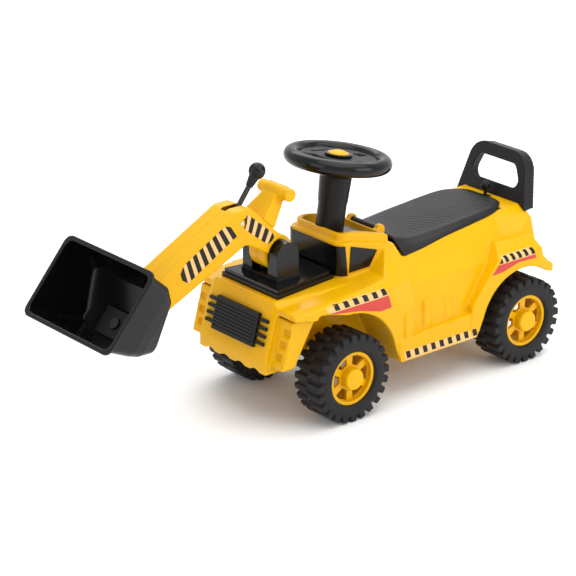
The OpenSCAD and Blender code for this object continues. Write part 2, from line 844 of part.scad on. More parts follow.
module grille_panel() {
    panel_hw = 50;
    panel_h = 52;
    rib_gap = 5.2;
    color(black) at_face() translate([0.3, 0, -2]) {
        difference() {
            box(0, 6, -panel_hw, panel_hw, -panel_h / 2, panel_h / 2);
            for (i = [1:8]) {
                box(4.6, 7, -panel_hw + 3, panel_hw - 3, -panel_h / 2 + i * rib_gap + 1.2, -panel_h / 2 + i * rib_gap + 3.2);
            }
        }
        both_sides() for (i = [0:3]) {
            box(0, 4, panel_hw, 70, -19 + i * 11.5, -14 + i * 11.5);
        }
    }
}

// Curved glazing laid on the cab: a thin skin of the cab block's own outline
module cab_skin(depth) {
    difference() {
        cab_block(depth, ledge_z);
        cab_block(0, ledge_z + 10);
    }
}

module windscreen() {
    color(black) intersection() {
        cab_skin(1.5);
        box(cab_front_x - 22, cab_front_x + 5, -cab_hw - 5, cab_hw + 5, hood_z + 4, ledge_z - 5);
        side_slab(-100, 100) polygon([
            [cab_front_x - 9, ledge_z],
            [cab_front_x - 14, hood_z],
            [cab_front_x + 20, hood_z],
            [cab_front_x + 20, ledge_z]
        ]);
    }
}

module side_windows() {
    color(black) intersection() {
        cab_skin(1.5);
        side_slab(-100, 100) polygon([
            [cab_front_x - 20, ledge_z - 7],
            [cab_front_x - 17, hood_z + 8],
            [front_x - 86, hood_z + 11],
            [front_x - 100, hood_z + 35]
        ]);
        both_sides() box(cab_rear_x - 20, cab_front_x, 30, 100, hood_z, ledge_z);
    }
}

// A plate on the floor of the dash well, behind the column
module dash_panel() {
    color(grey) difference() {
        box(cab_rear_x + 6, column_x(well_floor_z) - column_r + 6, -36, 36, well_floor_z, well_floor_z + 1.5);
        at_column() translate([0, 0, sleeve_low]) cylinder(r = column_r + 1.5, h = 60);
    }
}

module column_bush() {
    color(black) at_column() difference() {
        translate([0, 0, sleeve_low - 12]) cylinder(r = bush_r, h = 11.6);
        translate([0, 0, sleeve_low - 20]) cylinder(r = axle_r + running_gap, h = 40);
    }
}

// ---------- boom mount ----------

plinth_front_x = front_x + 91.4;
plinth_rear_x = cab_front_x + 3;

module plinth_outline(inset) {
    polygon([
        [plinth_front_x - inset, 67 - inset], [plinth_front_x - inset, -67 + inset],
        [plinth_rear_x + inset, -51 + inset], [plinth_rear_x + inset, 51 - inset]
    ]);
}

module arm_plinth() {
    color(black) {
        translate([0, 0, hood_z]) linear_extrude(7) plinth_outline(0);
        translate([0, 0, hood_z + 7]) linear_extrude(plinth_t - 7) plinth_outline(3);
    }
}

module arm_clevis() {
    base_z = hood_z + plinth_t;
    color(black) difference() {
        union() {
            box(pivot_x - cheek_r - 1.5, pivot_x + cheek_r + 1.5, -cheek_out - 1.5, cheek_out + 1.5, base_z,
                base_z + clevis_base);
            both_sides() {
                box(pivot_x - cheek_r, pivot_x + cheek_r, foot_hw + side_gap, cheek_out, base_z, pivot_z);
                rod_y(cheek_r, foot_hw + side_gap, cheek_out, pivot_x, pivot_z);
            }
        }
        rod_y(pivot_r, -cheek_out - 5, cheek_out - 6, pivot_x, pivot_z);
        // Room for the foot to turn over the base
        rod_y(foot_r + 2, -foot_hw - side_gap, foot_hw + side_gap, pivot_x, pivot_z);
    }
}

module boom_pivot_pin() {
    color(steel) rod_y(pivot_r, -cheek_out, cheek_out - 6, pivot_x, pivot_z);
}

// ---------- boom ----------

// Side outline of the boom, from the foot over the knee to the round nose
module boom_outline() {
    nose_up = [sin(leg_angle + 2), cos(leg_angle + 2)] * nose_r;
    nose_down = [-sin(leg_angle - 2), -cos(leg_angle - 2)] * nose_r;
    translate([pin_x, pin_z]) circle(r = nose_r, $fn = 64);
    polygon([
        [pivot_x, pivot_z] + heel,
        [pivot_x + 24.6, pivot_z + 5.5],
        [pivot_x + 60, pivot_z + 26],
        [pivot_x + 68, pivot_z + 28.5],
        [pin_x, pin_z] + nose_down,
        [pin_x, pin_z] + nose_up,
        [pivot_x + 88, pivot_z + 83],
        [pivot_x + 83, pivot_z + 85],
        [pivot_x + 61, pivot_z + 85],
        [pivot_x, pivot_z] + knee_back
    ]);
}

// The hollow inside, the outline drawn in by the wall
module boom_hollow_outline() {
    offset(delta = -boom_wall) boom_outline();
}

module boom_body() {
    difference() {
        union() {
            difference() {
                side_slab(-boom_hw, boom_hw) boom_outline();
                side_slab(-boom_hw + boom_wall, boom_hw - boom_wall) boom_hollow_outline();
                both_sides() rod_y(cheek_clear_r, foot_hw + side_gap, boom_hw + 1, pivot_x, pivot_z);
            }
            // Foot between the cheeks
            rod_y(foot_r, -foot_hw, foot_hw, pivot_x, pivot_z);
            both_sides() {
                // Bosses for the lever's pin and the screws, and side walls round the foot
                rod_y(7, 9, boom_hw - 1, lever_x, lever_z);
                for (p = screw_spots) {
                    rod_y(5.5, 0, boom_hw - 1, p[0], p[1]);
                }
                difference() {
                    rod_y(cheek_clear_r + boom_wall, foot_hw - boom_wall, boom_hw - 1, pivot_x, pivot_z);
                    rod_y(cheek_clear_r, foot_hw + side_gap, boom_hw + 1, pivot_x, pivot_z);
                    side_slab(0, boom_hw + 1) boom_outside();
                }
            }
        }
        rod_y(pivot_r + running_gap, -60, 60, pivot_x, pivot_z);
        rod_y(bucket_pin_r, -60, 60, pin_x, pin_z);
        rod_y(3, -60, 60, lever_x, lever_z);
        for (p = screw_spots) {
            rod_y(1.8, -boom_hw - 1, 14, p[0], p[1]);
            rod_y(3.6, -boom_hw - 1, -boom_hw + 3.5, p[0], p[1]);
        }
        // Slot in the top for the lever
        box(pivot_x + 47, pivot_x + 89, -6, 6, lever_z + 8, pivot_z + 100);
        // The nose is open for the bucket's middle lug
        translate([pin_x, 0, pin_z]) rotate([0, leg_angle, 0]) box(-12, 60, -9, 9, -40, 40);
    }
}

// Everything beyond the boom's side outline
module boom_outside() {
    difference() {
        translate([pivot_x - 100, pivot_z - 100]) square([200, 240]);
        boom_outline();
    }
}

module boom_left_half() {
    color(yellow) intersection() {
        boom_body();
        box(pivot_x - 100, pin_x + 100, 0, 60, 0, 500);
    }
}

module boom_right_half() {
    color(yellow) intersection() {
        boom_body();
        box(pivot_x - 100, pin_x + 100, -60, 0, 0, 500);
    }
}

// Grip column: local Z away from the boom's sloping back
module boom_grip() {
    color(yellow) translate([pivot_x + grip_at[0], 0, pivot_z + grip_at[1]]) rotate([0, -grip_lean, 0]) {
        hull() {
            translate([-9, -13, -6]) cube([18, 26, 6]);
            translate([-14, -26, -grip_len]) cube([26, 52, 4]);
        }
        rotate([90, 0, 0]) translate([0, 0, -34]) cylinder(r = 10, h = 68);
        rotate([90, 0, 0]) translate([0, 0, -20]) cylinder(r = 11.5, h = 40);
    }
}

screw_spots = [
    [pivot_x + 22, pivot_z + 40], [pivot_x + 108, pivot_z + 46], [pin_x - 50, pin_z + 36]
];

module boom_screws() {
    color(steel) for (p = screw_spots) {
        rod_y(1.8, -boom_hw + 3, 14, p[0], p[1]);
        difference() {
            rod_y(3.5, -boom_hw + 1.5, -boom_hw + 3.5, p[0], p[1]);
            box(p[0] - 0.5, p[0] + 0.5, -boom_hw, -boom_hw + 2.3, p[1] - 2.5, p[1] + 2.5);
            box(p[0] - 2.5, p[0] + 2.5, -boom_hw, -boom_hw + 2.3, p[1] - 0.5, p[1] + 0.5);
        }
    }
}

module bucket_pin() {
    color(steel) rod_y(bucket_pin_r, -ear_out - 1, ear_out + 1, pin_x, pin_z);
}

module lever_pin() {
    color(steel) rod_y(3, -boom_hw + 1, boom_hw - 1, lever_x, lever_z);
}

// ---------- lever and push rod ----------

lever_lean = 37.4;
lever_reach = 80.6;
knob_r = 13;

module lever_crank() {
    color(black) difference() {
        union() {
            rod_y(7, -8.5, 8.5, lever_x, lever_z);
            // Fork that carries the push rod's rear eye
            both_sides() {
                box(lever_x - 5, lever_x + 5, 3, 6.5, lever_z - link_r, lever_z);
                rod_y(5, 3, 6.5, lever_x, lever_z - link_r);
            }
            rod_y(2.5, -6, 6, lever_x, lever_z - link_r);
        }
        rod_y(3 + running_gap, -60, 60, lever_x, lever_z);
    }
}

module at_lever() {
    translate([lever_x, 0, lever_z]) rotate([0, -lever_lean, 0]) children();
}

module lever_rod() {
    color(black) at_lever() difference() {
        translate([0, 0, 6]) cylinder(r = 4, h = lever_reach - 12);
        rotate([90, 0, 0]) translate([0, 0, -20]) cylinder(r = 7, h = 40);
    }
}

module lever_knob() {
    color(black) at_lever() difference() {
        union() {
            translate([0, 0, lever_reach]) sphere(r = knob_r);
            translate([0, 0, lever_reach - 26]) cylinder(r1 = 5.5, r2 = 8.5, h = 18);
        }
        translate([0, 0, 0]) cylinder(r = 4, h = lever_reach - 6);
    }
}

// A bar's side outline between two distances from the rear eye, along the push rod
module rod_outline(from, to, half) {
    translate([lever_x, lever_z - link_r]) rotate(-leg_angle)
        polygon([[from, -half], [to, -half], [to, half], [from, half]]);
}

module push_rod() {
    rear = [lever_x, lever_z - link_r];
    fore = [pin_x, pin_z - link_r];
    run = norm(fore - rear);
    fork_in = lug_hw + side_gap;
    fork_out = fork_in + 2.5;
    color(steel) difference() {
        union() {
            side_slab(-2.6, 2.6) {
                translate(rear) circle(r = eye_r);
                rod_outline(2, run - 16, 3);
            }
            side_slab(-fork_out, fork_out) rod_outline(run - 20, run - 16, 3.2);
            both_sides() side_slab(fork_in, fork_out) {
                translate(fore) circle(r = eye_r);
                rod_outline(run - 18, run - 2, 3);
            }
        }
        rod_y(2.5 + running_gap, -60, 60, rear[0], rear[1]);
        rod_y(2.5 + 2 * running_gap, -60, 60, fore[0], fore[1]);
    }
}

// ---------- bucket ----------

ear_in = boom_hw + side_gap;
ear_out = boom_hw + 6;
lug_hw = 3.5;
lip = 4;

// Points of a rounded rectangle from its half width, its bottom and top, and a corner radius
function rounded(hw, low, high, r) = [
    for (c = [[1, high, 0], [-1, high, 90], [-1, low, 180], [1, low, 270]], a = [0:15:90])
        [c[0] * (hw - r) + r * cos(c[2] + a), c[1] + (c[1] == high ? -r : r) + r * sin(c[2] + a)]
];

// One slice of the bucket standing in the mouth frame at x
module bucket_slice(x, thick, hw, low, high, r) {
    translate([x, 0, 0]) rotate([90, 0, 90]) linear_extrude(thick) polygon(rounded(hw, low, high, r));
}

bucket_low = mouth_up - mouth_h / 2;
bucket_high = mouth_up + mouth_h / 2;
bucket_back = mouth_out - bucket_depth;

// The bucket's tapering form, drawn in by an inset
module bucket_form(inset, over) {
    hull() {
        bucket_slice(mouth_out + over - 1, 1, mouth_hw - lip - inset, bucket_low + lip + inset,
                     bucket_high - lip - inset, 12);
        bucket_slice(mouth_out - 0.53 * bucket_depth, 1, mouth_hw - 9 - inset, bucket_low + 16 + inset,
                     bucket_high - 5 - inset, 12);
        bucket_slice(mouth_out - 0.74 * bucket_depth + inset / 2, 1, mouth_hw - 13 - inset,
                     bucket_low + 22 + inset, bucket_high - 16 - inset, 12);
        bucket_slice(bucket_back + inset, 1, mouth_hw - 21 - inset, bucket_low + 37, bucket_high - 77, 9);
    }
}

module bucket() {
    color(black) difference() {
        union() {
            at_bucket() {
                bucket_form(0, 0);
                // Thicker rim round the mouth
                bucket_slice(mouth_out - 5, 5, mouth_hw, bucket_low, bucket_high, 14);
            }
            both_sides() bracket_plate(ear_in, ear_out, 15);
            bracket_plate(-lug_hw, lug_hw, 10);
            // Crank arm of the middle lug, with the pin that the push rod turns on
            side_slab(-lug_hw + 0.2, lug_hw - 0.2) {
                translate([pin_x, pin_z - link_r]) circle(r = 5);
                translate([pin_x - 4.5, pin_z - link_r]) square([9, link_r]);
            }
            rod_y(2.5, -lug_hw - side_gap - 2.8, lug_hw + side_gap + 2.8, pin_x, pin_z - link_r);
        }
        at_bucket() bucket_form(bucket_wall, 1);
        rod_y(bucket_pin_r + running_gap, -60, 60, pin_x, pin_z);
    }
}

// A plate from the bucket's pin to its back wall
module bracket_plate(y0, y1, r) {
    at_bucket() side_slab(y0, y1) {
        circle(r = r);
        polygon([
            [0, r - 0.6], [bucket_back + 32, r - 2], [bucket_back + 10, bucket_low + 48], [-0.6 * r, -0.6 * r]
        ]);
    }
}

cover_hw = 34;
cover_x = bucket_back + 15;
cover_z = bucket_low + 52;

module bucket_cover_plate() {
    color(grey) at_bucket() difference() {
        intersection() {
            bucket_form(bucket_wall + 0.1, 1);
            box(bucket_back, cover_x, -cover_hw, cover_hw, cover_z - 21, cover_z + 21);
        }
        translate([cover_x - 3, 0, cover_z]) rotate([0, 90, 0]) cylinder(r = 9, h = 10);
    }
}

module bucket_cover_button() {
    color(black) at_bucket() translate([cover_x - 3, 0, cover_z]) rotate([0, 90, 0]) cylinder(r = 8.8, h = 6);
}

// ---------- steering ----------

module steering_wheel() {
    color(black) at_column() difference() {
        union() {
            rotate_extrude($fn = 96) translate([wheel_r - wheel_tube_r, 0]) circle(r = wheel_tube_r);
            difference() {
                translate([0, 0, -4]) cylinder(r = wheel_r - wheel_tube_r, h = 5, $fn = 96);
                finger_window();
            }
            translate([0, 0, -18]) cylinder(r = 24, h = 16);
            translate([0, 0, -4]) cylinder(r = 21, h = 13);
        }
        translate([0, 0, 2]) cylinder(r = button_r + 0.3, h = 20);
        translate([0, 0, -30]) cylinder(r = axle_r, h = 30);
        sound_place() translate([-7.3, -7.3, -20]) cube([14.6, 14.6, 40]);
    }
}

button_r = 16;
button_travel = 2.5;

// The open window at the wheel's far side
module finger_window() {
    translate([0, 0, -10]) linear_extrude(30) polygon([
        [28, -24], [54, -40], [62, -20], [64, 0], [62, 20], [54, 40], [28, 24]
    ]);
}

module sound_place() {
    translate([-44, 0, 0]) children();
}

module wheel_face_plate() {
    color(grey) at_column() difference() {
        translate([0, 0, 1]) cylinder(r = wheel_r - 2 * wheel_tube_r - 0.3, h = 3, $fn = 96);
        finger_window();
        translate([0, 0, -10]) cylinder(r = 21.2, h = 30);
        sound_place() translate([-7.3, -7.3, -20]) cube([14.6, 14.6, 40]);
        // Shallow curved grooves either side of the hub
        both_sides() translate([4, 40, 2.8]) cube([36, 7, 5], center = true);
    }
}

module horn_button() {
    color(yellow) at_column() {
        translate([0, 0, 2 + button_travel + 0.3]) cylinder(r = button_r, h = 5);
        intersection() {
            translate([0, 0, -14]) sphere(r = 28);
            translate([0, 0, 2 + button_travel + 5]) cylinder(r = button_r - 1, h = 20);
        }
    }
}

module sound_button() {
    color(black) at_column() sound_place() {
        translate([-7, -7, 2]) cube([14, 14, 3.5]);
        translate([0, 0, 5]) cylinder(r = 4, h = 1.5);
    }
}

module column_upper() {
    color(black) at_column() difference() {
        union() {
            translate([0, 0, sleeve_top]) cylinder(r1 = column_r + 1, r2 = column_r + 3, h = -26 - sleeve_top);
            translate([0, 0, -26]) cylinder(r1 = column_r + 3, r2 = column_r + 10, h = 8);
        }
        translate([0, 0, -80]) cylinder(r = column_r - 1, h = 58);
        translate([0, 0, -80]) cylinder(r = axle_r, h = 80);
    }
}

module column_lower() {
    color(black) at_column() difference() {
        translate([0, 0, sleeve_low + side_gap]) cylinder(r = column_r, h = sleeve_top - sleeve_low - side_gap);
        translate([0, 0, sleeve_low + 4]) cylinder(r = column_r - 3, h = 70);
        translate([0, 0, -140]) cylinder(r = axle_r, h = 30);
        rotate([0, 0, 120]) translate([column_r - 5, 0, -92]) rotate([0, 90, 0]) cylinder(r = 2.5, h = 10);
    }
}

module column_screw() {
    color(steel) at_column() rotate([0, 0, 120]) translate([0, 0, -92]) rotate([0, 90, 0]) {
        translate([0, 0, axle_r]) cylinder(r = 2.5, h = column_r - axle_r - 1);
    }
}

module steering_rod() {
    color(steel) at_column() {
        translate([0, 0, -crank_drop]) cylinder(r = axle_r, h = crank_drop);
        translate([0, 0, -crank_drop]) sphere(r = axle_r);
        translate([0, 0, -crank_drop]) rotate([0, -90, 0]) cylinder(r = 3, h = crank_r);
        translate([-crank_r, 0, -crank_drop]) sphere(r = 3);
        translate([-crank_r, 0, -crank_drop - 11]) cylinder(r = 3, h = 11);
    }
}

// ---------- seat and backrest ----------

module storage_box() {
    color(black) difference() {
        union() {
            box(box_rear_x, box_front_x, -box_hw, box_hw, deck_z - box_depth, deck_z);
            box(box_rear_x - 6, box_front_x + 6, -box_hw - 5, box_hw + 5, deck_z, deck_z + 2);
        }
        box(box_rear_x + 2.5, box_front_x - 2.5, -box_hw + 2.5, box_hw - 2.5, deck_z - box_depth + 2.5, deck_z + 5);
    }
}

function seat_rows(drop, inset) = [
    for (i = [0:5])
        let (s = seat_sections[i])
        [rear_x + s[0] + (i == 0 ? -inset : i == 5 ? inset : 0), [
            [0, s[1] - drop],
            [s[2] - inset, s[3] - drop],
            [s[4] - inset, s[5] + 0.2 - (drop > 0 ? 2 : 0)],
            [0, s[5] + 0.2 - (drop > 0 ? 2 : 0)]
        ]]
];

module seat_lid() {
    color(black) {
        difference() {
            loft(seat_rows(0, 0));
            loft(seat_rows(lid_t, lid_t));
            // The lid's underside clears the body's strip and the storage box
            box(seat_rear_x - 5, seat_front_x - 8, -recess_hw, recess_hw, deck_z, deck_z + 10);
        }
        // Tongue to the hinge bar, and the tab at the rear
        difference() {
            hull() {
                box(seat_front_x - 3, seat_front_x - 1, -hinge_hw + 2, hinge_hw - 2, 237, 242);
                rod_y(3, -hinge_hw + 2, hinge_hw - 2, hinge_x - 3, hinge_z - 2);
            }
            rod_y(hinge_r + 0.3, -hinge_hw, hinge_hw, hinge_x, hinge_z);
        }
        box(seat_rear_x - 8, seat_rear_x + 4, -4, 4, strip_z - 0.5, strip_z + 2.5);
    }
}

module seat_hinge_bar() {
    color(black) {
        rod_y(hinge_r, -hinge_hw, hinge_hw, hinge_x, hinge_z);
        rod_y(hinge_r - 1, -hinge_hw - 5, hinge_hw + 5, hinge_x, hinge_z);
    }
}

module seat_pull_knob() {
    color(black) translate([seat_rear_x - 4.5, 0, 0]) {
        translate([0, 0, strip_z + 2.5]) cylinder(r = 2.5, h = 10);
        translate([0, 0, strip_z + 18]) sphere(r = 7.5);
    }
}

module backrest() {
    top_r = 34;
    window_r = 12;
    color(black) difference() {
        translate([back_x, 0, back_base_z]) rotate([0, -back_lean, 0]) rotate([90, 0, -90]) difference() {
            linear_extrude(back_t) hull() {
                translate([-back_hw, -8]) square([2 * back_hw, 2]);
                for (y = [-1, 1]) {
                    translate([y * (back_hw - 16 - top_r), back_h - top_r]) circle(r = top_r);
                }
            }
            // Hand window, and the deeper frame step round it at the back
            translate([0, 0, -1]) linear_extrude(back_t + 2) back_window(0, window_r);
            translate([0, 0, 4]) linear_extrude(back_t) back_window(6, window_r + 4);
        }
        // Seats on the strip behind the lid and on the sloping shoulders
        translate([back_x - 60, 0, 0]) rotate([90, 0, 90]) linear_extrude(120) polygon([
            [-120, 200], [-90, back_base_z - 2.5], [-86, back_base_z - 1.7], [-62, strip_z + 0.3],
            [62, strip_z + 0.3], [86, back_base_z - 1.7], [90, back_base_z - 2.5], [120, 200]
        ]);
    }
}

// Rounded hand window, wider than high
module back_window(grow, r) {
    hull() {
        for (y = [-1, 1]) {
            translate([y * (back_hw - 29 - r + grow), 34 + r - grow]) circle(r = r);
            translate([y * (back_hw - 36 - r + grow), back_h - 21 - r + grow]) circle(r = r);
        }
    }
}

body_shell();
under_tray();
tray_screws();
front_beam();
kingpins();
rear_axle();
rear_axle_nuts();
grille_panel();
windscreen();
side_windows();
dash_panel();
column_bush();
arm_plinth();
arm_clevis();
boom_pivot_pin();
storage_box();
backrest();
seat_lid();
seat_hinge_bar();
seat_pull_knob();
steering_wheel();
wheel_face_plate();
horn_button();
sound_button();
column_upper();
column_lower();
column_screw();
steering_rod();
tie_rod();
knuckle_left();
knuckle_right();
stub_axle_left();
stub_axle_right();
tyre_front_left();
tyre_front_right();
tyre_rear_left();
tyre_rear_right();
rim_front_left();
rim_front_right();
rim_rear_left();
rim_rear_right();
hub_cap_front_left();
hub_cap_front_right();
hub_cap_rear_left();
hub_cap_rear_right();
boom_left_half();
boom_right_half();
boom_grip();
boom_screws();
bucket_pin();
lever_pin();
lever_crank();
lever_rod();
lever_knob();
push_rod();
bucket();
bucket_cover_plate();
bucket_cover_button();
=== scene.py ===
import bmesh
import bpy
import json
import math
from mathutils import Matrix, Vector
from mathutils.bvhtree import BVHTree


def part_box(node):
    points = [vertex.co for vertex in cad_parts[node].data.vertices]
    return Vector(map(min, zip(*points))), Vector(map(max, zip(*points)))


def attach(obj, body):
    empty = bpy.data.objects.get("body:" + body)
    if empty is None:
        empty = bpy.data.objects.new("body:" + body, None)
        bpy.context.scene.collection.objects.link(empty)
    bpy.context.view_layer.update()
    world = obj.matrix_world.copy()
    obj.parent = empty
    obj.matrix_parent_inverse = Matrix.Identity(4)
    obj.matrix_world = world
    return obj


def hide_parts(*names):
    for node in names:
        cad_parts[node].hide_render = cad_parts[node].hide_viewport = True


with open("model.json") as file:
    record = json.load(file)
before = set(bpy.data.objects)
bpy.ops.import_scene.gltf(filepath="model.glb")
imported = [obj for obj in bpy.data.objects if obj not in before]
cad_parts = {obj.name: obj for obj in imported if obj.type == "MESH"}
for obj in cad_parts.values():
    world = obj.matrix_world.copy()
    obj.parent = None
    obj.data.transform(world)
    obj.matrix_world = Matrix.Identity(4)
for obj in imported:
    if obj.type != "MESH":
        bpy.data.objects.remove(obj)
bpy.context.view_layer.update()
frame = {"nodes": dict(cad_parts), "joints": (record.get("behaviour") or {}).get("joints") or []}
nodes = frame["nodes"]
anchor = {j["name"]: Vector(j["pos_m"]) for j in frame["joints"] if "pos_m" in j}
mm = 0.001

# ---------- Studio ----------
# The toy stands on a plain pale sheet of board under broad soft lamps,
# seen from its front left quarter, a little above the seat.
studio = bpy.context.scene
studio.view_settings.view_transform = "Standard"

camera_azimuth = math.radians(140.921)
camera_height_angle = math.radians(21.191)
camera_roll = math.radians(-0.382)
level_reach = math.cos(camera_height_angle)
back_way = Vector((
    math.sin(camera_azimuth) * level_reach,
    -math.cos(camera_azimuth) * level_reach,
    math.sin(camera_height_angle),
))
right_way = Vector((0, 0, 1)).cross(back_way).normalized()
up_way = back_way.cross(right_way)
level_right = right_way * math.cos(camera_roll) + up_way * math.sin(camera_roll)
level_up = up_way * math.cos(camera_roll) - right_way * math.sin(camera_roll)
camera_aim = Vector((-59.487, -105.825, 128.226)) * mm
camera_distance = 3.70952
camera_lens = bpy.data.cameras.new("studio_camera")
camera_lens.lens = 146.95
camera_lens.sensor_width = 36
camera_lens.clip_start = 0.05
camera_lens.clip_end = 40
camera = bpy.data.objects.new("studio_camera", camera_lens)
turn = Matrix((level_right, level_up, back_way)).transposed().to_4x4()
camera.matrix_world = Matrix.Translation(camera_aim + back_way * camera_distance) @ turn
studio.collection.objects.link(camera)
studio.camera = camera


def softbox(name, place, aim, width, depth, power, tint):
    """A rectangular area lamp at a place, turned to face its aim."""
    lamp = bpy.data.lights.new(name, "AREA")
    lamp.shape = "RECTANGLE"
    lamp.size = width
    lamp.size_y = depth
    lamp.energy = power
    lamp.color = tint
    holder = bpy.data.objects.new(name, lamp)
    holder.location = place
    holder.rotation_mode = "QUATERNION"
    holder.rotation_quaternion = (Vector(aim) - Vector(place)).to_track_quat("-Z", "Y")
    studio.collection.objects.link(holder)
    return holder


softbox("overhead_softbox", (-0.2, 0.5, 2.3), (-0.1, 0, 0.1), 2.6, 2.0, 30, (1, 1, 1))
softbox("side_softbox", (-0.9, 2.3, 1.1), (-0.1, 0, 0.2), 1.6, 1.4, 18, (1, 0.995, 0.98))
softbox("front_softbox", (2.4, 0.3, 1.3), (0, 0, 0.2), 1.4, 1.6, 8, (1, 1, 1))
softbox("backdrop_softbox", (-1.7, -2.1, 2.2), (-1.7, -2.1, 0), 3.0, 3.0, 50, (1, 1, 1))

sky = bpy.data.worlds.new("studio_walls")
sky.use_nodes = True
sky.node_tree.nodes["Background"].inputs["Color"].default_value = (1, 1, 1, 1)
sky.node_tree.nodes["Background"].inputs["Strength"].default_value = 0.8
studio.world = sky

board_mesh = bpy.data.meshes.new("floor_board")
board_form = bmesh.new()
board_half = 9
for x in (-board_half, board_half):
    for y in (-board_half, board_half):
        board_form.verts.new((x, y, 0))
board_form.verts.ensure_lookup_table()
board_form.faces.new([board_form.verts[i] for i in (0, 2, 3, 1)])
board_form.to_mesh(board_mesh)
board_form.free()
floor_board = bpy.data.objects.new("floor_board", board_mesh)
studio.collection.objects.link(floor_board)
paper = bpy.data.materials.new("pale_paper")
paper.use_nodes = True
paper_shader = paper.node_tree.nodes["Principled BSDF"]
paper_shader.inputs["Roughness"].default_value = 0.75
paper_shader.inputs["Specular IOR Level"].default_value = 0.15
paper_fibre = paper.node_tree.nodes.new("ShaderNodeTexNoise")
paper_fibre.inputs["Scale"].default_value = 3
paper_tone = paper.node_tree.nodes.new("ShaderNodeMapRange")
paper_tone.inputs["To Min"].default_value = 0.965
paper_tone.inputs["To Max"].default_value = 0.985
paper.node_tree.links.new(paper_fibre.outputs["Fac"], paper_tone.inputs["Value"])
paper.node_tree.links.new(paper_tone.outputs["Result"], paper_shader.inputs["Base Color"])
board_mesh.materials.append(paper)

# ---------- Body shell ----------
# One large blow-moulded hull of glossy yellow polyethylene, about 3 mm thick,
# open underneath, with softly rounded edges everywhere from the mould.


def moulding_group():
    """Moulded skin: slow changes of tone, fine grain and softly worn edges."""
    group = bpy.data.node_groups.new("moulded_skin", "ShaderNodeTree")
    for label, kind, start in (
        ("Colour", "NodeSocketColor", (0.8, 0.8, 0.8, 1)),
        ("Edge Colour", "NodeSocketColor", (1, 1, 1, 1)),
        ("Edge Amount", "NodeSocketFloat", 0.3),
        ("Edge Radius", "NodeSocketFloat", 0.001),
        ("Tone Spread", "NodeSocketFloat", 0.06),
        ("Grain Scale", "NodeSocketFloat", 300.0),
        ("Grain Height", "NodeSocketFloat", 0.02),
        ("Shine", "NodeSocketFloat", 0.3),
        ("Shine Spread", "NodeSocketFloat", 0.1),
    ):
        socket = group.interface.new_socket(name=label, in_out="INPUT", socket_type=kind)
        socket.default_value = start
    group.interface.new_socket(name="Colour", in_out="OUTPUT", socket_type="NodeSocketColor")
    group.interface.new_socket(name="Roughness", in_out="OUTPUT", socket_type="NodeSocketFloat")
    group.interface.new_socket(name="Normal", in_out="OUTPUT", socket_type="NodeSocketVector")
    tree = group.nodes
    join = group.links.new
    given = tree.new("NodeGroupInput")
    result = tree.new("NodeGroupOutput")
    place = tree.new("ShaderNodeTexCoord")
    cloud = tree.new("ShaderNodeTexNoise")
    cloud.inputs["Scale"].default_value = 14
    cloud.inputs["Detail"].default_value = 4
    join(place.outputs["Object"], cloud.inputs["Vector"])
    lean = tree.new("ShaderNodeMath")
    lean.operation = "SUBTRACT"
    lean.inputs[1].default_value = 0.5
    join(cloud.outputs["Fac"], lean.inputs[0])
    spread = tree.new("ShaderNodeMath")
    spread.operation = "MULTIPLY_ADD"
    join(lean.outputs[0], spread.inputs[0])
    join(given.outputs["Tone Spread"], spread.inputs[1])
    spread.inputs[2].default_value = 1
    toned = tree.new("ShaderNodeVectorMath")
    toned.operation = "SCALE"
    join(given.outputs["Colour"], toned.inputs[0])
    join(spread.outputs[0], toned.inputs["Scale"])
    rounded = tree.new("ShaderNodeBevel")
    rounded.samples = 4
    join(given.outputs["Edge Radius"], rounded.inputs["Radius"])
    surface = tree.new("ShaderNodeNewGeometry")
    turned = tree.new("ShaderNodeVectorMath")
    turned.operation = "DOT_PRODUCT"
    join(rounded.outputs["Normal"], turned.inputs[0])
    join(surface.outputs["Normal"], turned.inputs[1])
    edge = tree.new("ShaderNodeMapRange")
    edge.inputs["From Min"].default_value = 0.99
    edge.inputs["From Max"].default_value = 0.86
    join(turned.outputs["Value"], edge.inputs["Value"])
    worn = tree.new("ShaderNodeMath")
    worn.operation = "MULTIPLY"
    join(edge.outputs["Result"], worn.inputs[0])
    join(given.outputs["Edge Amount"], worn.inputs[1])
    paint = tree.new("ShaderNodeMix")
    paint.data_type = "RGBA"
    join(worn.outputs[0], paint.inputs[0])
    join(toned.outputs[0], paint.inputs[6])
    join(given.outputs["Edge Colour"], paint.inputs[7])
    join(paint.outputs[2], result.inputs["Colour"])
    shine = tree.new("ShaderNodeMath")
    shine.operation = "MULTIPLY_ADD"
    join(lean.outputs[0], shine.inputs[0])
    join(given.outputs["Shine Spread"], shine.inputs[1])
    join(given.outputs["Shine"], shine.inputs[2])
    join(shine.outputs[0], result.inputs["Roughness"])
    grain = tree.new("ShaderNodeTexNoise")
    grain.inputs["Detail"].default_value = 2
    join(place.outputs["Object"], grain.inputs["Vector"])
    join(given.outputs["Grain Scale"], grain.inputs["Scale"])
    dimples = tree.new("ShaderNodeBump")
    dimples.inputs["Distance"].default_value = 0.001
    join(given.outputs["Grain Height"], dimples.inputs["Strength"])
    join(grain.outputs["Fac"], dimples.inputs["Height"])
    join(rounded.outputs["Normal"], dimples.inputs["Normal"])
    join(dimples.outputs["Normal"], result.inputs["Normal"])
    return group


moulded_skin = moulding_group()


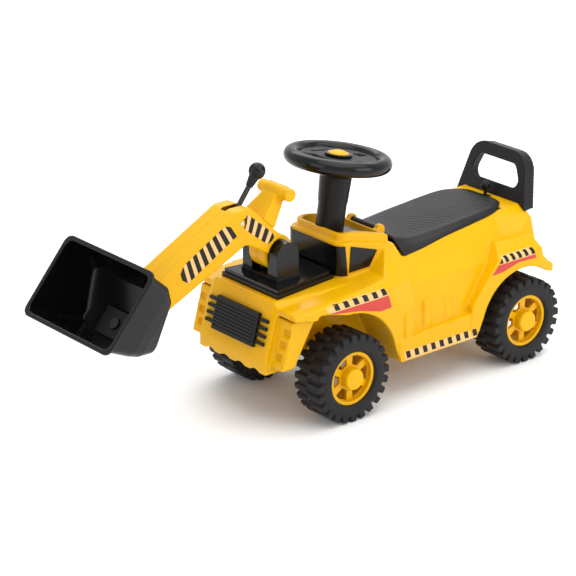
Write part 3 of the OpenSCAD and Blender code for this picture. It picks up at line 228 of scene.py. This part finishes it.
def moulded_plastic(
    name, colour, edge, edge_amount, radius, spread, grain, height, shine, shine_spread, gleam=0.22
):
    """A plastic whose skin comes from the moulded_skin group."""
    material = bpy.data.materials.new(name)
    material.use_nodes = True
    material.diffuse_color = (*colour, 1)
    tree = material.node_tree
    shader = tree.nodes["Principled BSDF"]
    shader.inputs["Specular IOR Level"].default_value = gleam
    skin = tree.nodes.new("ShaderNodeGroup")
    skin.node_tree = moulded_skin
    skin.inputs["Colour"].default_value = (*colour, 1)
    skin.inputs["Edge Colour"].default_value = (*edge, 1)
    skin.inputs["Edge Amount"].default_value = edge_amount
    skin.inputs["Edge Radius"].default_value = radius
    skin.inputs["Tone Spread"].default_value = spread
    skin.inputs["Grain Scale"].default_value = grain
    skin.inputs["Grain Height"].default_value = height
    skin.inputs["Shine"].default_value = shine
    skin.inputs["Shine Spread"].default_value = shine_spread
    tree.links.new(skin.outputs["Colour"], shader.inputs["Base Color"])
    tree.links.new(skin.outputs["Roughness"], shader.inputs["Roughness"])
    tree.links.new(skin.outputs["Normal"], shader.inputs["Normal"])
    return material


def settle(piece):
    """Turns a piece's modifiers into its own mesh."""
    bpy.context.view_layer.update()
    ready = piece.evaluated_get(bpy.context.evaluated_depsgraph_get())
    mesh = bpy.data.meshes.new_from_object(ready)
    piece.modifiers.clear()
    old = piece.data
    piece.data = mesh
    bpy.data.meshes.remove(old)
    return mesh


def soft_moulding(node, body, material, pitch, rounds, keep=1.0):
    """A copy of a node with the mould's small radii on its edges, standing for that node."""
    piece = bpy.data.objects.new(node + "_moulding", nodes[node].data.copy())
    piece.data.materials.clear()
    studio.collection.objects.link(piece)
    weld = piece.modifiers.new("weld", "WELD")
    weld.merge_threshold = 0.00001
    remesh = piece.modifiers.new("remesh", "REMESH")
    remesh.mode = "VOXEL"
    remesh.voxel_size = pitch
    remesh.use_smooth_shade = True
    soften = piece.modifiers.new("soften", "SMOOTH")
    soften.factor = 0.5
    soften.iterations = rounds
    if keep < 1:
        thin = piece.modifiers.new("thin", "DECIMATE")
        thin.ratio = keep
    mesh = settle(piece)
    mesh.name = node + "_moulding"
    mesh.materials.clear()
    mesh.materials.append(material)
    mesh.shade_smooth()
    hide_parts(node)
    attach(piece, body)
    return piece


def finish_node(node, material):
    """Gives every slot of a node's own mesh one finish."""
    mesh = nodes[node].data
    if not mesh.materials:
        mesh.materials.append(material)
    for i in range(len(mesh.materials)):
        mesh.materials[i] = material


yellow_plastic = moulded_plastic(
    "yellow_plastic", (0.76, 0.4, 0.0), (0.88, 0.52, 0.01),
    edge_amount=0.3, radius=0.0012, spread=0.07, grain=260, height=0.035,
    shine=0.26, shine_spread=0.12, gleam=0.2,
)
body_skin = soft_moulding("body_shell", "chassis", yellow_plastic, 1.45 * mm, 4)


def span(value, low, high, soft):
    """One well inside a span, falling to nothing over its soft border."""
    return max(0, min(1, (value - low) / soft, (high - value) / soft))


# The mould's relief: three windows down each front wing, and three
# round-topped steps on each flank above the skirt
window_depth = 3.4
window_pitch = 19
window_step_in = 4
step_rise = 2.2
step_width = 17
step_pitch = 46
wing_front_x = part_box("grille_panel")[0].x - 12 * mm
first_step_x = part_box("seat_hinge_bar")[1].x / mm + 20
facing = [v.normal.copy() for v in body_skin.data.vertices]
for v, normal in zip(body_skin.data.vertices, facing):
    x, y, z = v.co.x / mm, abs(v.co.y) / mm, v.co.z / mm
    out = 1 if v.co.y > 0 else -1
    if v.co.x > wing_front_x and normal.x > 0.3 and y > 84:
        for k in range(3):
            inner_y = 93 - window_step_in * k
            low_z = 154 - window_pitch * k
            share = span(y, inner_y, inner_y + 16, 1.6) * span(z, low_z, low_z + 12, 1.6)
            v.co.x -= window_depth * mm * share
    elif normal.y * out > 0.4 and y > 92 and 100 < z < 160:
        for k in range(3):
            front = first_step_x - step_pitch * k
            top = 146.5 + 4 * k
            cap = max(0, 1 - abs(x - front + step_width / 2) / (step_width / 2))
            share = span(x, front - step_width, front, 3.5) * span(z, 100, top - 8 * (1 - cap) ** 2, 4)
            v.co.y += out * step_rise * mm * share
thin_body = body_skin.modifiers.new("thin", "DECIMATE")
thin_body.ratio = 0.5
settle(body_skin).shade_smooth()

# ---------- Body stickers ----------
# Printed vinyl: black bars on pale cream with a red wedge under them,
# on both fenders, and a row of bars along the skirt's lower edge.


def printed_vinyl(name, colour, shine):
    """Vinyl film with a faint print screen and a soft sheen."""
    return moulded_plastic(name, colour, colour, 0.0, 0.0004, 0.1, 1400, 0.05, shine, 0.1)


cream_vinyl = printed_vinyl("cream_vinyl", (0.84, 0.50, 0.2), 0.42)
black_vinyl = printed_vinyl("black_vinyl", (0.012, 0.009, 0.006), 0.4)
red_vinyl = printed_vinyl("red_vinyl", (0.56, 0.06, 0.045), 0.42)
film_lift = 0.22 * mm
print_lift = 0.4 * mm
# What a strip is made of: its material, its slot and its height over the skin
cream_film = (cream_vinyl, "grey_plastic", film_lift)
red_film = (red_vinyl, "grey_plastic", film_lift)
black_film = (black_vinyl, "black_plastic", film_lift)
black_print = (black_vinyl, "black_plastic", print_lift)


def skin_tree(piece):
    """The surface of a piece, ready for laying a sticker on it."""
    points = [v.co.copy() for v in piece.data.vertices]
    faces = [tuple(p.vertices) for p in piece.data.polygons]
    return BVHTree.FromPolygons(points, faces)


def lay_strip(name, skin, side, upper, lower, vinyl, body, along=6, across=5):
    """A strip of film between two edge lines in the side view, laid onto the skin from that side."""
    material, slot, lift = vinyl
    cast_from = 0.3
    cast_length = 0.26
    search_from = 0.12
    form = bmesh.new()
    rows = []
    for i in range(len(upper) - 1):
        for k in range(along + (i == len(upper) - 2)):
            t = k / along
            top = Vector(upper[i]).lerp(Vector(upper[i + 1]), t)
            low = Vector(lower[i]).lerp(Vector(lower[i + 1]), t)
            row = []
            for n in range(across + 1):
                spot = top.lerp(low, n / across)
                start = Vector((spot.x, side * cast_from, spot.y))
                hit, face, _, _ = skin.ray_cast(start, Vector((0, -side, 0)), cast_length)
                if hit is None:
                    hit, face, _, _ = skin.find_nearest(Vector((spot.x, side * search_from, spot.y)))
                if face.y * side < 0:
                    face = -face
                row.append(form.verts.new(hit + face * lift))
            rows.append(row)
    for a, b in zip(rows, rows[1:]):
        for n in range(across):
            form.faces.new((a[n], a[n + 1], b[n + 1], b[n]))
    bmesh.ops.recalc_face_normals(form, faces=form.faces)
    if sum(f.normal.y for f in form.faces) * side < 0:
        bmesh.ops.reverse_faces(form, faces=form.faces)
    mesh = bpy.data.meshes.new(name)
    form.to_mesh(mesh)
    form.free()
    mesh.materials.append(material)
    mesh.shade_smooth()
    film = bpy.data.objects.new(name, mesh)
    studio.collection.objects.link(film)
    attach(film, body)
    return film


def offset_line(points, x, z=0.0):
    """Edge points given in millimetres from an axle's x, as metres in the frame."""
    return [((x + dx * mm), (dz + z) * mm) for dx, dz in points]


front_tyre_low, front_tyre_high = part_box("tyre_front_left")
rear_tyre_low, rear_tyre_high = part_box("tyre_rear_left")
front_axle_x = (front_tyre_low.x + front_tyre_high.x) / 2
rear_axle_x = (rear_tyre_low.x + rear_tyre_high.x) / 2
body_surface = skin_tree(body_skin)


def body_strip(name, side, upper, lower, from_x, vinyl, along=6):
    """A strip on the hull, its edge points given in millimetres from a place along it."""
    upper_line = offset_line(upper, from_x)
    lower_line = offset_line(lower, from_x)
    return lay_strip(name, body_surface, side, upper_line, lower_line, vinyl, "chassis", along)


for side, where in ((1, "left"), (-1, "right")):
    body_strip(
        "front_fender_cream_" + where, side,
        [(44, 190.5), (34, 194), (-72, 194)],
        [(38, 182), (33, 181), (-80, 181)],
        front_axle_x, cream_film, 14,
    )
    for bar in range(6):
        at = 31 - bar * 18.8
        body_strip(
            "front_fender_bar_%d_%s" % (bar + 1, where), side,
            [(at, 193.2), (at - 9, 193.2)],
            [(at - 5, 182.8), (at - 14.5, 182.8)],
            front_axle_x, black_print,
        )
    body_strip(
        "front_fender_wedge_" + where, side,
        [(33, 181), (-22, 181), (-64, 181), (-80, 181)],
        [(35, 179.6), (-22, 170.6), (-64, 159), (-87, 159.5)],
        front_axle_x, red_film, 8,
    )
    body_strip(
        "rear_fender_cream_" + where, side,
        [(47, 187), (-20, 187)],
        [(56, 175), (-25, 175)],
        rear_axle_x, cream_film, 14,
    )
    body_strip(
        "rear_fender_bar_1_" + where, side,
        [(49, 183.5), (48, 183.5)],
        [(54, 176.2), (45, 176.2)],
        rear_axle_x, black_print,
    )
    for bar in range(5):
        at = 43.5 - bar * 14.2
        body_strip(
            "rear_fender_bar_%d_%s" % (bar + 2, where), side,
            [(at, 186.2), (at - 7, 186.2)],
            [(at - 4, 176.2), (at - 11, 176.2)],
            rear_axle_x, black_print,
        )
    body_strip(
        "rear_fender_wedge_" + where, side,
        [(56, 174.6), (40, 174.6), (11, 174.6), (-25, 174.6)],
        [(69, 160), (45, 161.5), (11, 169.5), (-27, 168)],
        rear_axle_x, red_film, 8,
    )
    body_strip(
        "skirt_cream_" + where, side,
        [(-103, 80.5), (-262, 79.5)],
        [(-105, 66), (-262, 64.5)],
        0.0, cream_film, 22,
    )
    for bar in range(9):
        at = -105.5 - bar * 17.3
        body_strip(
            "skirt_bar_%d_%s" % (bar + 1, where), side,
            [(at, 79.8), (at - 8.5, 79.8)],
            [(at - 3.5, 68), (at - 12, 68)],
            0.0, black_print,
        )

# ---------- Under tray ----------
# A yellow moulded tray closes the hollow of the hull from below and carries the
# axles; long zinc-plated screws pull it up against the posts of the hull.
satin_black = moulded_plastic(
    "satin_black_plastic", (0.0075, 0.007, 0.0075), (0.03, 0.03, 0.032),
    edge_amount=0.3, radius=0.0008, spread=0.3, grain=900, height=0.12,
    shine=0.34, shine_spread=0.16,
)
finish_node("under_tray", yellow_plastic)


def zinc_plated(name, colour, shine, draw):
    """Zinc-plated steel: drawing lines along the bar and dull spots in the plating."""
    material = moulded_plastic(name, colour, (0.8, 0.8, 0.8), 0.2, 0.0003, 0.25, draw, 0.1, shine, 0.3)
    material.node_tree.nodes["Principled BSDF"].inputs["Metallic"].default_value = 1
    return material


zinc_steel = zinc_plated("zinc_plated_steel", (0.56, 0.57, 0.58), 0.34, 700)
finish_node("tray_screws", zinc_steel)

# ---------- Axles and steering gear ----------
# A front beam with kingpins carries the knuckles; stub axles and a tie rod turn
# with the steering rod's crank, and the rear axle is one plain bar. All look
# plated here, though the record lists the beam and the knuckles as black plastic.
black_steel = zinc_plated("black_painted_steel", (0.035, 0.035, 0.036), 0.4, 500)
black_steel.node_tree.nodes["Principled BSDF"].inputs["Metallic"].default_value = 0
for node in (
    "front_beam", "kingpins", "knuckle_left", "knuckle_right",
    "stub_axle_left", "stub_axle_right", "tie_rod", "rear_axle", "rear_axle_nuts",
):
    finish_node(node, zinc_steel)

# ---------- Wheels ----------
# Hollow black tyres with blocky lugs, yellow rims with six windows,
# and a round yellow cap over the axle's end at each wheel.
tyre_rubber = moulded_plastic(
    "tyre_rubber", (0.0125, 0.0115, 0.0125), (0.042, 0.038, 0.04),
    edge_amount=0.5, radius=0.0014, spread=0.4, grain=420, height=0.3,
    shine=0.52, shine_spread=0.2,
)
for corner in ("front_left", "front_right", "rear_left", "rear_right"):
    soft_moulding("tyre_" + corner, "wheel_" + corner, tyre_rubber, 1.5 * mm, 5, 0.4)
    finish_node("rim_" + corner, yellow_plastic)
    finish_node("hub_cap_" + corner, yellow_plastic)

# ---------- Windscreen, side windows and dash ----------
# Thin glossy black panels lie on the cab's front and sides, and a matt grey
# dash plate on the floor of its well, behind the steering column's bush.
gloss_black = moulded_plastic(
    "gloss_black_plastic", (0.004, 0.0036, 0.004), (0.02, 0.02, 0.021),
    edge_amount=0.3, radius=0.0012, spread=0.3, grain=300, height=0.03,
    shine=0.17, shine_spread=0.1, gleam=0.3,
)
dash_grey = moulded_plastic(
    "dash_grey_plastic", (0.30, 0.28, 0.26), (0.36, 0.34, 0.32),
    edge_amount=0.2, radius=0.0008, spread=0.1, grain=1100, height=0.35,
    shine=0.6, shine_spread=0.15,
)
finish_node("windscreen", gloss_black)
finish_node("side_windows", gloss_black)
finish_node("dash_panel", dash_grey)
finish_node("column_bush", satin_black)

# ---------- Grille ----------
# A black panel with fine level ribs and four short bars each side,
# laid on the slanted face of the hull.
finish_node("grille_panel", satin_black)

# ---------- Arm plinth and clevis ----------
# A black stepped plinth on the hood carries the two rounded cheeks
# that the arm's steel pin passes through.
finish_node("arm_plinth", gloss_black)
finish_node("arm_clevis", gloss_black)
finish_node("boom_pivot_pin", zinc_steel)

# ---------- Storage box ----------
# A thin black tub under the seat, its flange
# resting on the hull's dished deck.
finish_node("storage_box", satin_black)

# ---------- Digger arm ----------
# Two glossy yellow half shells screwed together, a cross grip at the
# heel, and striped stickers on both legs.
boom_left = soft_moulding("boom_left_half", "boom", yellow_plastic, 1.2 * mm, 2)
boom_right = soft_moulding("boom_right_half", "boom", yellow_plastic, 1.2 * mm, 2)
for shell, side in ((boom_left, 1), (boom_right, -1)):
    outside = shell.vertex_groups.new(name="outside")
    outside.add([v.index for v in shell.data.vertices if v.co.y * side > 3.5 * mm], 1, "REPLACE")
    round_off = shell.modifiers.new("round_off", "SMOOTH")
    round_off.factor = 0.5
    round_off.iterations = 16
    round_off.vertex_group = "outside"
    thin_shell = shell.modifiers.new("thin", "DECIMATE")
    thin_shell.ratio = 0.6
    settle(shell).shade_smooth()
soft_moulding("boom_grip", "boom", yellow_plastic, 1.0 * mm, 4)
finish_node("boom_screws", zinc_steel)
finish_node("bucket_pin", zinc_steel)
finish_node("lever_pin", zinc_steel)


def line_part(points, marks, start, end):
    """The part of an edge line between two shares of its length, corners kept."""
    inner = [m for m in marks if start < m < end]
    line = []
    for share in [start, *inner, end]:
        k = max(i for i in range(len(marks) - 1) if marks[i] <= share or i == 0)
        t = (share - marks[k]) / (marks[k + 1] - marks[k])
        line.append(tuple(Vector(points[k]).lerp(Vector(points[k + 1]), t)))
    return line


def striped_panel(name, skin, side, upper, lower, marks, bars, body):
    """A panel with cut corners, black bars from end to end and cream between them."""
    bar_to_gap = 1.25
    gap_share = 1 / (bars * bar_to_gap + bars - 1)
    bar_share = bar_to_gap * gap_share
    for k in range(bars):
        start = k * (bar_share + gap_share)
        middle = start + bar_share
        end = middle + gap_share
        bar_upper = line_part(upper, marks, start, middle)
        bar_lower = line_part(lower, marks, start, middle)
        lay_strip("%s_bar_%d" % (name, k + 1), skin, side, bar_upper, bar_lower, black_film, body, 3, 8)
        if k < bars - 1:
            gap_upper = line_part(upper, marks, middle, end)
            gap_lower = line_part(lower, marks, middle, end)
            lay_strip("%s_gap_%d" % (name, k + 1), skin, side, gap_upper, gap_lower, cream_film, body, 3, 8)


arm_pivot = anchor["boom_lift"]
for side, where, shell in ((1, "left", boom_left), (-1, "right", boom_right)):
    arm_surface = skin_tree(shell)
    arm_z = arm_pivot.z / mm
    striped_panel(
        "arm_front_" + where, arm_surface, side,
        offset_line([(188, 13), (182, 25), (107, 68), (95, 64)], arm_pivot.x, arm_z),
        offset_line([(185, 3), (174, -4), (92, 43), (84, 47)], arm_pivot.x, arm_z),
        [0, 0.08, 0.92, 1], 8, "boom",
    )
    striped_panel(
        "arm_rear_" + where, arm_surface, side,
        offset_line([(73, 67), (63, 76), (18, 38), (14, 30)], arm_pivot.x, arm_z),
        offset_line([(72, 60), (69, 54), (27, 21), (20, 24)], arm_pivot.x, arm_z),
        [0, 0.12, 0.88, 1], 5, "boom",
    )

# ---------- Tilt lever ----------
# A black steel rod with a fluted knob turns the crank between the arm's
# shells, and a plated push rod carries that turn to the bucket.
finish_node("push_rod", zinc_steel)
finish_node("lever_crank", zinc_steel)
finish_node("lever_rod", black_steel)
knob_skin = soft_moulding("lever_knob", "lever", gloss_black, 0.55 * mm, 3)
knob_low, knob_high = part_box("lever_knob")
knob_middle = (knob_low + knob_high) / 2
grip_line = (anchor["lever_tilt"] - knob_middle).normalized()
knob_neck = 3.2 * mm
flute_count = 8
flute_depth = 1.1 * mm
side_way = Vector((0, 1, 0))
cross_way = grip_line.cross(side_way).normalized()
for v in knob_skin.data.vertices:
    out = v.co - knob_middle
    reach = out - grip_line * out.dot(grip_line)
    if reach.length < knob_neck:
        continue
    turn_angle = math.atan2(reach.dot(side_way), reach.dot(cross_way))
    flute = (0.5 + 0.5 * math.cos(flute_count * turn_angle)) ** 2
    v.co -= reach.normalized() * flute * flute_depth * min(1, (reach.length - knob_neck) / (3 * mm))

# ---------- Bucket ----------
# A glossy black scoop with its bracket lugs. A satin black cover plate
# with a round glossy button sits inside, against the back wall.
soft_moulding("bucket", "bucket", gloss_black, 1.3 * mm, 3, 0.7)
finish_node("bucket_cover_plate", satin_black)
finish_node("bucket_cover_button", gloss_black)

# ---------- Steering wheel and column ----------
# A glossy black rim and a two-part column joined by a cross screw; the
# face plate is matt grey and carries a yellow horn dome and a sound pad.
face_grey = moulded_plastic(
    "face_plate_grey", (0.045, 0.045, 0.048), (0.1, 0.1, 0.1),
    edge_amount=0.3, radius=0.0007, spread=0.2, grain=1300, height=0.4,
    shine=0.5, shine_spread=0.15,
)
finish_node("steering_wheel", gloss_black)
finish_node("wheel_face_plate", face_grey)
finish_node("horn_button", yellow_plastic)
finish_node("sound_button", satin_black)
finish_node("column_upper", satin_black)
finish_node("column_lower", satin_black)
finish_node("column_screw", zinc_steel)
finish_node("steering_rod", zinc_steel)

# ---------- Seat ----------
# A ribbed satin black lid over the storage box, with long side flaps,
# turning on a black bar between two lugs of the hull.
seat_black = moulded_plastic(
    "seat_black_plastic", (0.0115, 0.011, 0.012), (0.035, 0.035, 0.037),
    edge_amount=0.3, radius=0.0009, spread=0.3, grain=1000, height=0.2,
    shine=0.4, shine_spread=0.15,
)
# Stations ahead of the rear axle: crown height, half-width and height of the
# top's edge, half-width and height of the flap's edge
seat_stations = [
    (214, 243, 52, 239, 79, 215),
    (176, 236, 56, 232, 78, 219),
    (121, 239, 60, 235, 74, 226),
    (61, 243, 61, 240, 70, 231),
    (11, 246, 58, 243, 65, 236),
    (-14, 245, 44, 243, 50, 238),
    (-27, 243, 32, 242, 38, 238.6),
]
seat_front = seat_stations[0][0]
seat_rear = seat_stations[-1][0]


def seat_form_at(station):
    """Smoothly joined sizes of the seat at one station, corners rounded at its rear end."""
    for k in range(len(seat_stations) - 1):
        ahead, behind = seat_stations[k], seat_stations[k + 1]
        if behind[0] <= station <= ahead[0]:
            break
    before = seat_stations[max(0, k - 1)]
    after = seat_stations[min(len(seat_stations) - 1, k + 2)]
    reach = ahead[0] - behind[0]
    t = (ahead[0] - station) / reach
    sizes = []
    for n in range(1, 6):
        leave = (behind[n] - before[n]) / max(1, before[0] - behind[0]) * reach
        arrive = (after[n] - ahead[n]) / max(1, ahead[0] - after[0]) * reach
        sizes.append(
            (2 * t ** 3 - 3 * t ** 2 + 1) * ahead[n] + (t ** 3 - 2 * t ** 2 + t) * leave
            + (3 * t ** 2 - 2 * t ** 3) * behind[n] + (t ** 3 - t ** 2) * arrive
        )
    return sizes


def seat_section(station, across):
    """Points of one cross-section from the crown's middle to the flap's rim: half-width, height."""
    crown_z, edge_y, edge_z, flap_y, flap_z = seat_form_at(station)
    points = []
    soft = 5
    for n in range(across + 1):
        y = (edge_y - soft) * n / across
        points.append((y, crown_z - (crown_z - edge_z) * (y / edge_y) ** 2))
    start_y, start_z = points[-1]
    slope = Vector((flap_y - edge_y, flap_z - edge_z))
    turn_y, turn_z = edge_y + slope.x * 0.28, edge_z + slope.y * 0.28
    for n in range(1, 6):
        t = n / 5
        points.append((
            (1 - t) ** 2 * start_y + 2 * t * (1 - t) * edge_y + t ** 2 * turn_y,
            (1 - t) ** 2 * start_z + 2 * t * (1 - t) * edge_z + t ** 2 * turn_z,
        ))
    for n in range(1, 7):
        t = n / 6
        bulge = 1.2 * math.sin(math.pi * t)
        points.append((turn_y + (flap_y - turn_y) * t + bulge, turn_z + (flap_z - turn_z) * t + bulge * 0.4))
    return points


rib_pitch = 9.2
rib_depth = 1.1
seat_form = bmesh.new()
seat_rows = []
row_count = 190
border = 9
groove_width = 2.5
ribs_from = 13
end_round = 4
for r in range(row_count + 1):
    station = seat_front - (seat_front - seat_rear) * r / row_count
    half = seat_section(station, 42)
    x = rear_axle_x / mm + station
    lid_half = seat_form_at(station)[1]
    row = []
    for y, z in [(-y, z) for y, z in reversed(half[1:])] + half:
        inset = min(lid_half - abs(y), 206 - station, (station + 20) * 0.8)
        if 0 < inset - border < groove_width:
            z -= 0.8 * math.sin(math.pi * (inset - border) / groove_width)
        elif inset > ribs_from:
            crest = abs(math.sin(math.pi * (0.82 * x + 0.58 * y) / rib_pitch))
            z -= rib_depth * (1 - crest) ** 1.4 * min(1, (inset - ribs_from) / 2)
        ends = min(seat_front - station, station - seat_rear)
        if ends < end_round:
            z -= end_round - math.sqrt(max(0, end_round ** 2 - (end_round - ends) ** 2))
        row.append(seat_form.verts.new((x * mm, y * mm, z * mm)))
    seat_rows.append(row)
for a, b in zip(seat_rows, seat_rows[1:]):
    for n in range(len(a) - 1):
        seat_form.faces.new((a[n], a[n + 1], b[n + 1], b[n]))
bmesh.ops.recalc_face_normals(seat_form, faces=seat_form.faces)
if sum(f.normal.z for f in seat_form.faces) < 0:
    bmesh.ops.reverse_faces(seat_form, faces=seat_form.faces)
seat_mesh = bpy.data.meshes.new("seat_lid_ribbed")
seat_form.to_mesh(seat_mesh)
seat_form.free()
seat_mesh.materials.append(seat_black)
seat_skin = bpy.data.objects.new("seat_lid_ribbed", seat_mesh)
studio.collection.objects.link(seat_skin)
seat_wall = seat_skin.modifiers.new("wall", "SOLIDIFY")
seat_wall.thickness = 2.6 * mm
seat_wall.offset = -1
seat_wall.use_rim = True
settle(seat_skin).shade_smooth()
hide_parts("seat_lid")
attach(seat_skin, "seat")
# The lid's tongue round the hinge bar, and the tab that carries its knob
bar_low, bar_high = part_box("seat_hinge_bar")
bar_middle = (bar_low + bar_high) / 2
bar_gap = (bar_high.z - bar_low.z) / 2 + 0.4 * mm
knob_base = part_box("seat_pull_knob")[0]
lid_front_x = rear_axle_x + seat_front * mm
lid_rear_x = rear_axle_x + seat_rear * mm
tongue_top_z, tongue_front_z, tongue_rear_z = 0.2418, 0.2375, 0.238
tongue_half = 26 * mm
tongue_side = [(lid_front_x - 5 * mm, tongue_top_z)]
for degrees in (170, 190, 210, 230, 250):
    around = math.radians(degrees)
    tongue_side.append((bar_middle.x + bar_gap * math.cos(around), bar_middle.z + bar_gap * math.sin(around)))
tongue_side += [(lid_front_x, tongue_front_z), (lid_front_x - 5 * mm, tongue_rear_z)]
tab_ends = (lid_rear_x - 8 * mm, lid_rear_x + 7 * mm)
tab_low_z = knob_base.z - 3 * mm
tab_half = 4 * mm
tab_side = [
    (tab_ends[0], tab_low_z),
    (tab_ends[0], knob_base.z),
    (tab_ends[1], knob_base.z),
    (tab_ends[1], tab_low_z),
]
lug_form = bmesh.new()
for outline, half in ((tongue_side, tongue_half), (tab_side, tab_half)):
    near = [lug_form.verts.new((x, half, z)) for x, z in outline]
    far = [lug_form.verts.new((x, -half, z)) for x, z in outline]
    lug_form.faces.new(near)
    lug_form.faces.new(list(reversed(far)))
    for n in range(len(outline)):
        m = (n + 1) % len(outline)
        lug_form.faces.new((near[m], near[n], far[n], far[m]))
bmesh.ops.triangulate(lug_form, faces=[f for f in lug_form.faces if len(f.verts) > 4])
bmesh.ops.recalc_face_normals(lug_form, faces=lug_form.faces)
lug_mesh = bpy.data.meshes.new("seat_lid_lugs")
lug_form.to_mesh(lug_mesh)
lug_form.free()
lug_mesh.materials.append(seat_black)
seat_lugs = bpy.data.objects.new("seat_lid_lugs", lug_mesh)
studio.collection.objects.link(seat_lugs)
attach(seat_lugs, "seat")
finish_node("seat_hinge_bar", satin_black)
finish_node("seat_pull_knob", satin_black)

# ---------- Backrest ----------
# A black frame with a rounded hand window, standing on the strip
# behind the lid and on the hull's shoulders beside it.
soft_moulding("backrest", "chassis", seat_black, 1.3 * mm, 4, 0.7)
